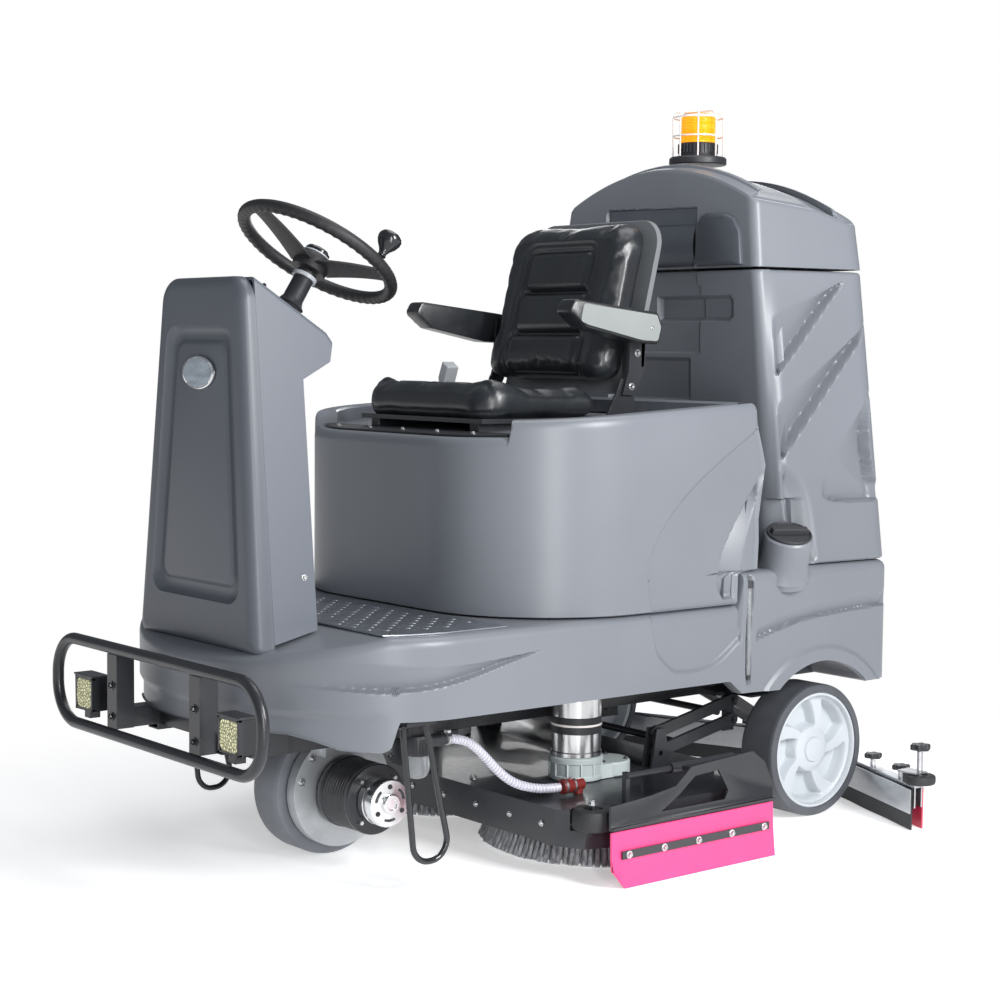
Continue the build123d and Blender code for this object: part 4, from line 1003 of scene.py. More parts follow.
def make_pod():
    shell_mesh = dressed("column_shell", "chassis", "cover_plastic", COVER_GREY, 0.004).data
    round_top(shell_mesh, 0.030)
    dressed("dash_panel", "chassis", "black_plastic", BLACK_PLASTIC, 0.0015)
    kit = Kit()
    rings = [cover_ring(-0.794, 0.018), cover_ring(-0.7656, 0.010), cover_ring(-0.7654, 0.0),
             cover_ring(-0.776, 0.0)]
    for a in np.linspace(0, math.pi / 2, 10):
        rings.append(cover_ring(-0.785 - 0.026 * math.sin(a), 0.026 * (1 - math.cos(a))))
    for depth, inset in ((0.0, -0.010), (0.0, 0.0), (0.002, 0.001), (0.012, 0.009), (0.0135, 0.012),
                         (0.0135, 0.028), (0.0125, 0.030),
                         (0.0070, 0.036), (0.0060, 0.040)):
        rings.append(panel_ring(depth, inset))
    kit.sheet(rings, wrap_v=True)
    kit.add(rings[-1], [tuple(range(len(rings[-1])))])
    kit.make("cover_front", "chassis", "cover_plastic", COVER_GREY, 0.0, ("front_cover",), angle=50)
    kit = Kit()
    rows = []
    for share, rise in ((1.0, 0.0), (1.0, 0.003), (0.95, 0.0045), (0.86, 0.0045), (0.84, 0.0032),
                        (0.02, 0.0040)):
        rows.append([(0.0600 * share * math.cos(a), -0.7965 - rise, 0.995 + 0.0325 * share * math.sin(a))
                     for a in np.linspace(0, 2 * math.pi, 48, endpoint=False)])
    kit.sheet(rows[:4], 0, wrap_v=True)
    kit.sheet(rows[3:], 1, wrap_v=True, caps=True)
    kit.make("pod_badge", "chassis", "cover_plastic", [BRIGHT, BADGE])
    kit = Kit()
    for side in (1, -1):
        kit.bolt((side * 0.2122, -0.690, 0.604), (side, 0, 0.1), 0.0042, 0, False)
    kit.make("cover_screws", "chassis", "cover_plastic", ZINC)


# ---------------------------------------------------------------- steering wheel and controls
STEER_CENTRE = Vector((0, -0.519, 1.238))
STEER_TILT = math.radians(32)
STEER_AXIS = Vector((0, math.sin(STEER_TILT), math.cos(STEER_TILT)))
STEER_UP = Vector((0, math.cos(STEER_TILT), -math.sin(STEER_TILT)))


def wheel_point(radius, angle, height):
    across = Vector((math.cos(angle), 0, 0)) + STEER_UP * math.sin(angle)
    return STEER_CENTRE + across * radius + STEER_AXIS * height


def make_steering():
    kit = Kit()
    grid = []
    for k in range(216):
        a = 2 * math.pi * k / 216
        across = (wheel_point(1, a, 0) - STEER_CENTRE)
        ring = []
        for j in range(22):
            b = 2 * math.pi * j / 22
            under = max(0.0, -math.sin(b))
            size = 0.0135 - 0.0016 * under * (0.5 + 0.5 * math.cos(a * 54)) ** 0.6
            ring.append(STEER_CENTRE + across * (0.166 + size * math.cos(b)) + STEER_AXIS * size * math.sin(b))
        grid.append(ring)
    kit.sheet(grid, 0, wrap_u=True, wrap_v=True)
    for turn in (-90, 30, 150):
        a = math.radians(turn)
        across = wheel_point(1, a, 0) - STEER_CENTRE
        other = STEER_AXIS.cross(across)
        rows = []
        for t in np.linspace(0, 1, 10):
            radius = 0.026 + 0.132 * t
            half = 0.036 - 0.016 * t
            drop = -0.024 * (1 - t) ** 1.5 - 0.004
            rows.append([STEER_CENTRE + across * radius + other * half * u + STEER_AXIS * (drop + v)
                         for u, v in ((-1, -0.004), (-0.8, 0.004), (0, 0.006), (0.8, 0.004), (1, -0.004),
                                      (0, -0.006))])
        kit.sheet(rows, 0, wrap_v=True, caps=True)
    kit.lathe([(0.0105, -0.044), (0.036, -0.044), (0.038, -0.036), (0.038, -0.022), (0.034, -0.012),
               (0.030, -0.008), (0.0105, -0.008)],
              STEER_CENTRE, STEER_AXIS, 0, 56, closed=True)
    kit.lathe([(0.030, -0.0078), (0.030, -0.0052), (0.0285, -0.0045), (0.0272, -0.0045), (0.0272, -0.0078)],
              STEER_CENTRE, STEER_AXIS, 1, 56, closed=True)
    kit.make("wheel_rim", "steering_wheel", "grip_black", [GRIP, RIM], 0.0008, ("steering_wheel",))
    kit = Kit()
    kit.lathe([(0.010, -0.026), (0.010, -0.004), (0.026, -0.004), (0.0265, 0.002), (0.024, 0.006),
               (0.018, 0.0085), (TIP, 0.0095)], STEER_CENTRE, STEER_AXIS, 0, 48)
    kit.make("horn_button", "horn_cap", "black_plastic", BLACK_GLOSS, 0.0, ("horn_cap",))
    foot = wheel_point(0.166, math.radians(15), 0.0152)
    kit = Kit()
    ball = [(0.009, 0.0), (0.0095, 0.002), (0.0085, 0.004), (0.0085, 0.008), (0.0125, 0.016),
            (0.0195, 0.025), (0.0240, 0.034), (0.0250, 0.041)]
    ball += [(0.0238, 0.046), (0.0205, 0.0505), (0.0150, 0.0530), (0.0080, 0.0546), (TIP, 0.0550)]
    kit.lathe(ball, foot, STEER_AXIS, 0, 40)
    kit.make("spinner_ball", "spinner_knob", "black_plastic", BLACK_GLOSS, 0.0, ("spinner_knob",))
    kit = Kit()
    boot = [(0.0212, -0.245), (0.0225, -0.22)]
    for k in range(7):
        boot += [(0.030, -0.172 + k * 0.0075), (0.0265, -0.168 + k * 0.0075)]
    boot += [(0.0215, -0.112), (0.0208, -0.048), (TIP, -0.048)]
    kit.lathe(boot, STEER_CENTRE, STEER_AXIS, 0, 44)
    kit.lathe([(0.0212, -0.064), (0.0262, -0.064), (0.0262, -0.056), (0.0212, -0.056)], STEER_CENTRE,
              STEER_AXIS, 1, 44, closed=True)
    kit.make("column_boot", "chassis", "black_plastic", [BLACK_PLASTIC, RIM], 0.0, ("steering_column",))
    kit = Kit()
    head = [(TIP, 0.0225), (0.010, 0.0222), (0.016, 0.020), (0.018, 0.015), (0.018, 0.009), (0.016, 0.006),
            (0.008, 0.006), (0.008, -0.016), (TIP, -0.016)]
    kit.lathe(head, PANEL_CENTRE + Vector((-0.07, 0, 0)), PANEL_NORMAL, 0, 44)
    kit.make("stop_button", "emergency_stop", "red_button", SIGNAL_RED, 0.0, ("emergency_stop",))
    kit = Kit()
    kit.lathe([(TIP, -0.016), (0.009, -0.016), (0.009, 0.0003), (0.013, 0.0003), (0.013, 0.006),
               (0.0115, 0.008), (TIP, 0.008)], PANEL_CENTRE + Vector((0.07, 0, 0)), PANEL_NORMAL, 0, 36)
    bow = []
    for a in np.linspace(0, 2 * math.pi, 28, endpoint=False):
        bow.append((0.07 + 0.010 * math.cos(a), 0.020 + 0.012 * math.sin(a)))
    side = Vector(ALONG_X).cross(PANEL_NORMAL)
    rows = [[Vector((x, 0, 0)) + PANEL_CENTRE + PANEL_NORMAL * h + side * w for x,
             h in bow] for w in (-0.0018, 0.0018)]
    kit.sheet(rows, 1, wrap_v=True, caps=True)
    kit.make("ignition_key", "key_switch", "bright_steel", [BRIGHT, BLACK_PLASTIC], 0.0004, ("key_switch",))
    dressed("accelerator_pedal", "accelerator_pedal", "black_steel", BLACK_STEEL, 0.002)


# ---------------------------------------------------------------- soft goods
def pad_mesh(name, outline, half, corner, roll, bend, stations=34):
    """A closed pad: a side outline carried across the seat. bend(y, z, inset, share) sets how the corners
    draw in (inset) and how the ends thin out (share)."""
    shape = bmesh.new()
    grid = []
    for x in half * np.sin(np.linspace(-math.pi / 2, math.pi / 2, stations)):
        reach = max(0.0, (abs(x) - (half - corner)) / corner)
        end = max(0.0, (abs(x) - (half - roll)) / roll)
        inset = corner * (1 - math.sqrt(max(0.0, 1 - reach ** 2)))
        share = 1 - 0.55 * (1 - math.sqrt(max(0.0, 1 - 0.98 * end ** 2)))
        grid.append([shape.verts.new((x, *bend(y, z, inset, share))) for y, z in outline])
    count = len(outline)
    for a, b in zip(grid, grid[1:]):
        for j in range(count):
            shape.faces.new((a[j], a[(j + 1) % count], b[(j + 1) % count], b[j]))
    shape.faces.new(grid[0][::-1])
    shape.faces.new(grid[-1])
    bmesh.ops.recalc_face_normals(shape, faces=shape.faces)
    mesh = bpy.data.meshes.new(name)
    shape.to_mesh(mesh)
    shape.free()
    return mesh


def inflate(piece, voxel, cap):
    """Swells a pad with air pressure, keeps each point near where it was, and leaves plain mesh."""
    bpy.context.view_layer.objects.active = piece
    remesh = piece.modifiers.new("remesh", "REMESH")
    remesh.mode = "VOXEL"
    remesh.voxel_size = voxel
    freeze(piece)
    before = np.empty(len(piece.data.vertices) * 3)
    piece.data.vertices.foreach_get("co", before)
    cloth = piece.modifiers.new("cloth", "CLOTH")
    cloth.settings.use_pressure = True
    cloth.settings.uniform_pressure_force = 4.0
    cloth.settings.effector_weights.gravity = 0.0
    cloth.settings.quality = 4
    for step in range(1, 21):
        bpy.context.scene.frame_set(step)
    freeze(piece)
    after = np.empty_like(before)
    piece.data.vertices.foreach_get("co", after)
    move = (after - before).reshape(-1, 3)
    size = np.maximum(np.linalg.norm(move, axis=1), 1e-9)[:, None]
    after = before.reshape(-1, 3) + move / size * np.minimum(size, cap)
    piece.data.vertices.foreach_set("co", after.ravel())
    piece.data.update()
    bpy.context.scene.frame_set(1)


def freeze(piece):
    graph = bpy.context.evaluated_depsgraph_get()
    mesh = bpy.data.meshes.new_from_object(piece.evaluated_get(graph))
    piece.modifiers.clear()
    piece.data = mesh


def sew(piece, depth_of):
    """Sinks seams and channels along the surface's own direction."""
    shape = bmesh.new()
    shape.from_mesh(piece.data)
    bmesh.ops.smooth_vert(shape, verts=shape.verts, factor=0.5, use_axis_x=True, use_axis_y=True,
                          use_axis_z=True)
    shape.normal_update()
    for vertex in shape.verts:
        vertex.co -= vertex.normal * depth_of(vertex.co, vertex.normal)
    shape.to_mesh(piece.data)
    shape.free()
    fine = piece.modifiers.new("fine", "SUBSURF")
    fine.levels = fine.render_levels = 1
    freeze(piece)


def near(value, line, half):
    t = min(1.0, abs(value - line) / half)
    return (1 - t * t) ** 2


def finish_pad(piece, body, look, node):
    piece.data.materials.clear()
    piece.data.materials.append(look)
    piece.data.polygons.foreach_set("use_smooth", [True] * len(piece.data.polygons))
    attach(piece, body)
    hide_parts(node)


def seat_bend(y, z, inset, share):
    return y + inset * min(1.0, max(0.0, (0.02 - y) / 0.20)), 0.930 + (z - 0.930) * share


def back_line(z):
    """Middle of the backrest's thickness at a height."""
    return 0.118 + (z - 0.972) * 0.262


def back_bend(y, z, inset, share):
    top = min(1.0, max(0.0, (z - 1.16) / 0.12))
    foot = min(1.0, max(0.0, (1.04 - z) / 0.06))
    height = z - inset * top + 0.5 * inset * foot
    return back_line(height) + (y - back_line(z)) * share, height


def ring_distance(x, z, half, low, high, bend):
    """Signed distance to a rounded rectangle, negative inside it."""
    u = abs(x) - (half - bend)
    v = abs(z - (low + high) / 2) - ((high - low) / 2 - bend)
    return math.hypot(max(u, 0), max(v, 0)) + min(max(u, v), 0) - bend


def seat_seams(p, n):
    top = max(0.0, n.z)
    edge = ring_distance(p.x, p.y, 0.138, -0.205, 0.045, 0.030)
    depth = 0.009 * near(edge, 0.0, 0.009) * top + 0.004 * near(edge, 0.016, 0.005) * top
    depth += 0.006 * near(p.y, -0.085, 0.007) * top * (edge < -0.004)
    depth -= 0.007 * near(abs(p.x), 0.182, 0.045) * top * (p.y > -0.22)
    return depth + 0.004 * near(p.z, 0.915, 0.004) * (1 - abs(n.z))


def back_seams(p, n):
    front = max(0.0, -n.y)
    depth = 0.0
    for low, high in ((0.992, 1.080), (1.090, 1.172), (1.182, 1.264)):
        half = 0.122 - 0.10 * ((low + high) / 2 - 1.0) * 0.9
        edge = ring_distance(p.x, p.z, half, low, high, 0.014)
        depth += 0.010 * near(edge, 0.004, 0.009) * front
        depth -= 0.003 * (edge < -0.010) * front
    outer = ring_distance(p.x, p.z, 0.136 - 0.06 * max(0.0, p.z - 1.0), 0.972, 1.282, 0.030)
    depth += 0.006 * near(outer, 0.0, 0.007) * front
    return depth + 0.005 * near(p.y, back_line(p.z) + 0.012, 0.004) * (1 - abs(n.y)) * 0.8


def make_cushions():
    seat_side = mm((-238, 904), (-252, 905), (-262, 913), (-264, 932), (-260, 953), (-246, 966),
                   (-226, 969), (-196, 962),
                   (-160, 952), (-100, 948), (-20, 949), (20, 954), (46, 953), (54, 945), (54, 914),
                   (46, 908),
                   (-200, 907))
    back_side = mm((86, 980), (112, 972), (140, 972), (150, 990), (234, 1322), (224, 1330), (196, 1328),
                   (172, 1316),
                   (156, 1290), (146, 1250), (104, 1090), (86, 1040), (78, 1000))
    for name, outline, half, bend, seams, body, slot, node in (
            ("seat_pad", seat_side, 0.226, seat_bend, seat_seams, "seat", "vinyl", "seat_cushion"),
            ("back_pad", back_side, 0.205, back_bend, back_seams, "backrest", "vinyl", "backrest_cushion")):
        pad = bpy.data.objects.new(name, pad_mesh(name, outline, half, 0.062, 0.034, bend))
        bpy.context.scene.collection.objects.link(pad)
        inflate(pad, 0.006, 0.010)
        sew(pad, seams)
        finish_pad(pad, body, VINYL, node)


def make_backrest_shell():
    """The moulded back with its rounded top, the recline plates and their pins."""
    top, bend, half = 1.334, 0.066, SEAT_BACK_X
    heights = list(np.linspace(0.950, top - bend, 12))
    heights += [top - bend + bend * math.sin(a) for a in np.linspace(0, math.pi / 2, 14)[1:]]
    rows = []
    for z in heights:
        t = min(0.998, max(0.0, (z - top + bend) / bend))
        width = half - bend * (1 - math.sqrt(1 - t * t))
        y = 0.150 + (z - 0.948) * 0.2474
        rows.append([(x, y + 0.001, z) for x in np.linspace(-width, width, 9)]
                    + [(x, y + 0.0145, z) for x in np.linspace(width, -width, 9)])
    kit = Kit()
    kit.sheet(rows, 0, wrap_v=True, caps=True)
    plate = mm((116, 950), (148, 948), (176, 1000), (182, 1118), (140, 1118), (132, 1000))
    for side in (1, -1):
        low, high = sorted((side * 0.229, side * SEAT_BRACKET_X))
        kit.plate(plate, low, high, "X", 1)
        low, high = sorted((side * SEAT_BACK_X, side * SEAT_BRACKET_X))
        kit.box((low, 0.168, 1.010), (high, 0.180, 1.080), 1)
        kit.post(0.008, 0, 0.017, (side * 0.212, 0.130, 0.965), (side, 0, 0), 1, 28)
    kit.make("back_shell", "backrest", "cover_plastic", [SHELL_GREY, BLACK_STEEL], 0.0022,
             ("backrest_shell",))


def make_armrest(word, side):
    outline = closed_ring(mm((-86, 1126), (-70, 1152), (168, 1128), (182, 1096), (172, 1060), (118, 1062),
                             (-40, 1092)),
                          [0.012] * 7, 5)
    rows = []
    for x, share in ((0.2395, 0.95), (0.241, 0.985), (0.246, 1.0), (0.281, 1.0), (0.287, 0.985),
                     (0.2895, 0.955)):
        rows.append([(side * x, 0.05 + (y - 0.05) * share, 1.107 + (z - 1.107) * share) for y,
                     z in outline])
    kit = Kit()
    kit.sheet(rows, 0, wrap_v=True, caps=True)
    face = closed_ring(mm((-58, 1106), (-50, 1143), (160, 1122), (172, 1096), (163, 1066), (118, 1068),
                          (-34, 1098)),
                       [0.008] * 7, 5)
    low, high = sorted((side * 0.2890, side * 0.2925))
    kit.plate(face, low, high, "X", 1)
    kit.bolt((side * 0.2925, 0.146, 1.094), (side, 0, 0), 0.003, 2)
    kit.make(f"armrest_{word}_pad", f"armrest_{word}", "black_plastic", [VINYL, ARM_GREY, ZINC], 0.0015,
             (f"armrest_{word}",))


def make_seat_frame():
    dressed("seat_pan", "seat", "black_steel", BLACK_STEEL, 0.0015)
    dressed("belt_buckle", "seat", "cover_plastic", BUCKLE_GREY, 0.004)
    make_backrest_shell()
    kit = Kit()
    for side in (1, -1):
        for y, z in ((0.158, 1.080), (0.156, 1.040), (0.140, 0.968)):
            kit.bolt((side * SEAT_BRACKET_X, y, z), (side, 0, 0), 0.0055)
    kit.make("bracket_bolts", "backrest", "cover_plastic", ZINC)
    for word, side in (("left", 1), ("right", -1)):
        make_armrest(word, side)


# ---------------------------------------------------------------- wheels and drive
def polar_relief(kit, centre, radii, count, height, look):
    """A turned face whose height changes with radius and angle. height(radius, angle) is along +X."""
    grid = []
    for radius in radii:
        ring = []
        for a in np.linspace(0, 2 * math.pi, count, endpoint=False):
            ring.append((centre[0] + height(radius, a), centre[1] + radius * math.cos(a),
                         centre[2] + radius * math.sin(a)))
        grid.append(ring)
    kit.sheet(grid, look, wrap_v=True)


def rim_face(radius, angle):
    """Five curved pockets between a raised hub and the flange."""
    turn = (angle - 0.25 * (radius - 0.07) / 0.05) * 5 / (2 * math.pi)
    share = abs((turn % 1.0) - 0.5) * 2
    spoke = step_up(0.74 - share, 0.16)
    band = step_up(radius - 0.050, 0.008) * (1 - step_up(radius - 0.108, 0.008))
    dish = -0.006 * step_up(radius - 0.034, 0.02) * (1 - step_up(radius - 0.112, 0.012))
    return float(dish - 0.026 * spoke * band)


def make_rear_wheels():
    for word, side in (("left", 1), ("right", -1)):
        kit = Kit()
        tread = [(0.1312, 0.327), (0.1440, 0.327), (0.1475, 0.3285), (0.1495, 0.332), (0.150, 0.337),
                 (0.150, 0.412),
                 (0.1495, 0.417), (0.1475, 0.4205), (0.1440, 0.422), (0.1312, 0.422)]
        kit.lathe([(r, side * x) for r, x in tread], REAR_AXLE, ALONG_X, 0, 96, closed=True)
        rim = [(0.131, 0.331), (0.131, 0.4185), (0.1285, 0.4205), (0.1245, 0.4205), (0.1225, 0.4175),
               (0.1215, 0.408)]
        inner = [(0.1215, 0.361), (0.1225, 0.333), (0.126, 0.331)]
        kit.lathe([(r, side * x) for r, x in rim + inner], REAR_AXLE, ALONG_X, 1, 96, closed=True)
        radii = [0.026, 0.030, 0.034, 0.040, 0.045] + list(np.linspace(0.049, 0.124, 34))
        polar_relief(kit, (side * 0.4105, 0.554, 0.150), radii, 240, lambda r, a: side * rim_face(r, a), 1)
        polar_relief(kit, (side * 0.366, 0.554, 0.150), [0.024, 0.05, 0.08, 0.1, 0.124], 96, lambda r,
                     a: 0.0, 1)
        kit.lathe([(0.0285, side * 0.404), (0.0285, side * 0.4125), (0.0265, side * 0.4150),
                   (0.020, side * 0.4160), (TIP, side * 0.4165)], REAR_AXLE, ALONG_X, 1, 48)
        kit.lathe([(0.0265, side * 0.337), (0.0265, side * 0.366), (0.0127, side * 0.366),
                   (0.0127, side * 0.337)], REAR_AXLE, ALONG_X, 1, 40, closed=True)
        kit.make(f"rear_wheel_{word}_parts", f"rear_wheel_{word}", "rim_white", [TYRE_DARK, RIM], 0.0,
                 (f"rear_wheel_{word}",))


def make_drive():
    kit = Kit()
    tread = [(0.1123, -0.044), (0.130, -0.044), (0.137, -0.0425), (0.1405, -0.038), (0.142, -0.030),
             (0.142, 0.030), (0.1405, 0.038), (0.137, 0.0425), (0.130, 0.044), (0.1123, 0.044)]
    kit.lathe(tread, (0, *DRIVE_AXLE), ALONG_X, 0, 120, closed=True)
    hub = [(0.01606, -0.038), (0.111, -0.038), (0.112, -0.037), (0.112, 0.037), (0.111, 0.038),
           (0.099, 0.038), (0.098, 0.012), (0.036, 0.012), (0.034, 0.038), (0.01606, 0.038)]
    kit.lathe(hub, (0, *DRIVE_AXLE), ALONG_X, 1, 96, closed=True)
    kit.make("drive_tyre", "drive_wheel", "tyre_grey", [PU_TYRE, CAST], 0.0, ("drive_wheel",))
    dressed("steer_fork", "drive_unit", "cast_metal", CAST, 0.004)
    kit = Kit()
    can = [(0.060, 0.0785), (0.060, 0.092), (0.072, 0.092), (0.0735, 0.095), (0.0735, 0.103),
           (0.070, 0.106)]
    for k in range(9):
        x = 0.109 + k * 0.0085
        can += [(0.070, x), (0.0715, x + 0.001), (0.0715, x + 0.005), (0.070, x + 0.006)]
    can += [(0.072, 0.187), (0.072, 0.194), (0.070, 0.196), (TIP, 0.196)]
    kit.lathe([(TIP, 0.0785)] + can, (0, *DRIVE_AXLE), ALONG_X, 0, 72)
    for k in range(4):
        a = math.radians(45 + 90 * k)
        kit.post(0.0045, 0.196, 0.2065, (0, DRIVE_AXLE[0] + 0.058 * math.cos(a),
                                         DRIVE_AXLE[1] + 0.058 * math.sin(a)), ALONG_X, 2, 6)
    brake = [(TIP, 0.1972), (0.046, 0.1972), (0.048, 0.199), (0.048, 0.214), (0.0465, 0.216),
             (0.0465, 0.219), (0.048, 0.221), (0.048, 0.240), (0.0465, 0.243), (0.021, 0.2436)]
    kit.lathe(brake + [(0.020, 0.2437), (0.020, 0.250), (0.018, 0.252), (0.012, 0.252), (0.011, 0.249),
                       (TIP, 0.249)], (0, *DRIVE_AXLE), ALONG_X, 1, 64)
    for k in range(3):
        a = math.radians(90 + 120 * k)
        foot = Vector((0.2434, DRIVE_AXLE[0] + 0.034 * math.cos(a), DRIVE_AXLE[1] + 0.034 * math.sin(a)))
        kit.bolt(foot, ALONG_X, 0.0035, 0, False)
        b = a + math.radians(60)
        slot_path = [(0.2436, DRIVE_AXLE[0] + 0.034 * math.cos(b + t),
                      DRIVE_AXLE[1] + 0.034 * math.sin(b + t)) for t in np.linspace(-0.35, 0.35, 9)]
        kit.sweep(slot_path, 0.0028, 0, 8)
    kit.make("motor_and_brake", "drive_unit", "black_steel", [BLACK_STEEL, BRIGHT, ZINC], 0.0005,
             ("drive_motor",))
    kit = Kit()
    for k in range(6):
        a = math.radians(15 + 30 * k)
        kit.bolt((0.078, DRIVE_AXLE[0] + 0.104 * math.cos(a), DRIVE_AXLE[1] + 0.104 * math.sin(a)), ALONG_X,
                 0.0055)
    kit.make("fork_bolts", "drive_unit", "cast_metal", ZINC)


# ---------------------------------------------------------------- front: bumper, lamps, steps, floor
def make_front():
    kit = Kit()
    corners = [(-0.400, -0.902, 0.264), (0.400, -0.902, 0.264), (0.400, -0.902, 0.440),
               (-0.400, -0.902, 0.440)]
    kit.sweep(rounded(corners, 0.080, 16, closed=True), 0.012, 0, 24, closed=True)
    for side in (1, -1):
        flat = [(0.142, -0.904), (0.182, -0.904), (0.182, -0.864), (0.178, -0.864), (0.178, -0.8995),
                (0.1465, -0.8995), (0.1465, -0.864), (0.142, -0.864)]
        kit.plate([(side * x, y) for x, y in flat], 0.277, 0.427, "Z")
        low, high = sorted((side * 0.152, side * 0.196))
        kit.box((low, -0.864, 0.276), (high, -0.800, 0.316))
        for z in (0.301, 0.364):
            kit.bolt((side * 0.162, -0.9042, z), (0, -1, 0), 0.0062, 1)
    kit.make("bumper_loop", "chassis", "black_steel", [BLACK_STEEL, BLACK_GLOSS], 0.0012, ("bumper_bar",))
    for x in (-0.283, 0.283):
        kit = Kit()
        kit.box((x - 0.036, -0.895, 0.2965), (x + 0.036, -0.862, 0.366))
        kit.box((x - 0.040, -0.906, 0.366), (x + 0.040, -0.864, 0.370))
        frame_bars = (((x - 0.036, 0.2965), (x - 0.030, 0.366)), ((x + 0.030, 0.2965), (x + 0.036, 0.366)),
                      ((x - 0.036, 0.2965), (x + 0.036, 0.302)), ((x - 0.036, 0.360), (x + 0.036, 0.366)))
        for (x0, z0), (x1, z1) in frame_bars:
            kit.box((x0, -0.904, z0), (x1, -0.895, z1))
        for k in range(6):
            kit.box((x - 0.033 + k * 0.012, -0.868, 0.300), (x - 0.029 + k * 0.012, -0.8622, 0.364))
        kit.box((x - 0.012, -0.896, 0.279), (x + 0.012, -0.872, 0.297))
        face = closed_ring([(x - 0.031, 0.3005), (x + 0.031, 0.3005), (x + 0.031, 0.3625),
                            (x - 0.031, 0.3625)], [0.016] * 4)
        kit.plate(face, -0.9035, -0.893, "Y", 1)
        kit.make("lamp_left" if x > 0 else "lamp_right", "chassis", "lamp_black", [BLACK_STEEL, LAMP_FACE],
                 0.0012, ("work_lights",))
    kit = Kit()
    for side in (1, -1):
        ends = [(side * 0.400, -0.592, 0.332), (side * 0.400, -0.562, 0.062), (side * 0.400, -0.474, 0.062),
                (side * 0.400, -0.538, 0.332)]
        kit.sweep(rounded(ends, 0.038, 12), 0.0062, 0, 20)
        for y in (-0.592, -0.538):
            kit.lathe([(0.0063, 0), (0.012, 0), (0.012, 0.003), (0.008, 0.006), (0.0063, 0.006)],
                      (side * 0.400, y, 0.333), (0, 0, -1), 0, 24, closed=True)
    kit.make("step_bars", "chassis", "black_steel", BLACK_GLOSS, 0.0, ("step_loop",))
    dressed("floor_plate", "chassis", "tread_metal", TREAD, 0.0006)
    kit = Kit()
    for i, x in enumerate(np.arange(-0.400, 0.401, 0.025)):
        for k, y in enumerate(np.arange(-0.620, -0.375, 0.025)):
            turn = math.radians(45 if (i + k) % 2 else -45)
            if x * x / 0.185 + (y + 0.506) ** 2 / 0.095 > 0.80 or abs(x) < 0.19 and y < -0.58:
                continue
            if y > -0.395 and abs(x) < 0.30:
                continue
            ring = []
            for a in np.linspace(0, 2 * math.pi, 12, endpoint=False):
                u, v = 0.0095 * math.cos(a), 0.0028 * math.sin(a)
                ring.append((x + u * math.cos(turn) - v * math.sin(turn),
                             y + u * math.sin(turn) + v * math.cos(turn), 0.5094))
            top = [(x + (p[0] - x) * 0.6, y + (p[1] - y) * 0.6, 0.5106) for p in ring]
            kit.sheet([ring, top], wrap_v=True)
            kit.add(top, [tuple(range(12))])
    kit.make("floor_chequers", "chassis", "tread_metal", TREAD)


# ---------------------------------------------------------------- water: hose, filter, tube, cap
HOSE_ROUTE = mm((352, -452, 284), (353, -418, 281), (354, -384, 264), (356, -352, 234), (361, -322, 201),
                (368, -290, 177), (376, -256, 165), (385, -222, 159), (394, -190, 160))


def hose_line():
    """The hose's middle line, read from its smooth route."""
    curve = bpy.data.curves.new("hose_route", "CURVE")
    curve.dimensions = "3D"
    curve.resolution_u = 16
    spline = curve.splines.new("NURBS")
    spline.points.add(len(HOSE_ROUTE) - 1)
    for point, place_at in zip(spline.points, HOSE_ROUTE):
        point.co = (*place_at, 1)
    spline.order_u = 3
    spline.use_endpoint_u = True
    holder = bpy.data.objects.new("hose_route", curve)
    mesh = bpy.data.meshes.new_from_object(holder)
    line = [v.co.copy() for v in mesh.vertices]
    bpy.data.objects.remove(holder)
    return line


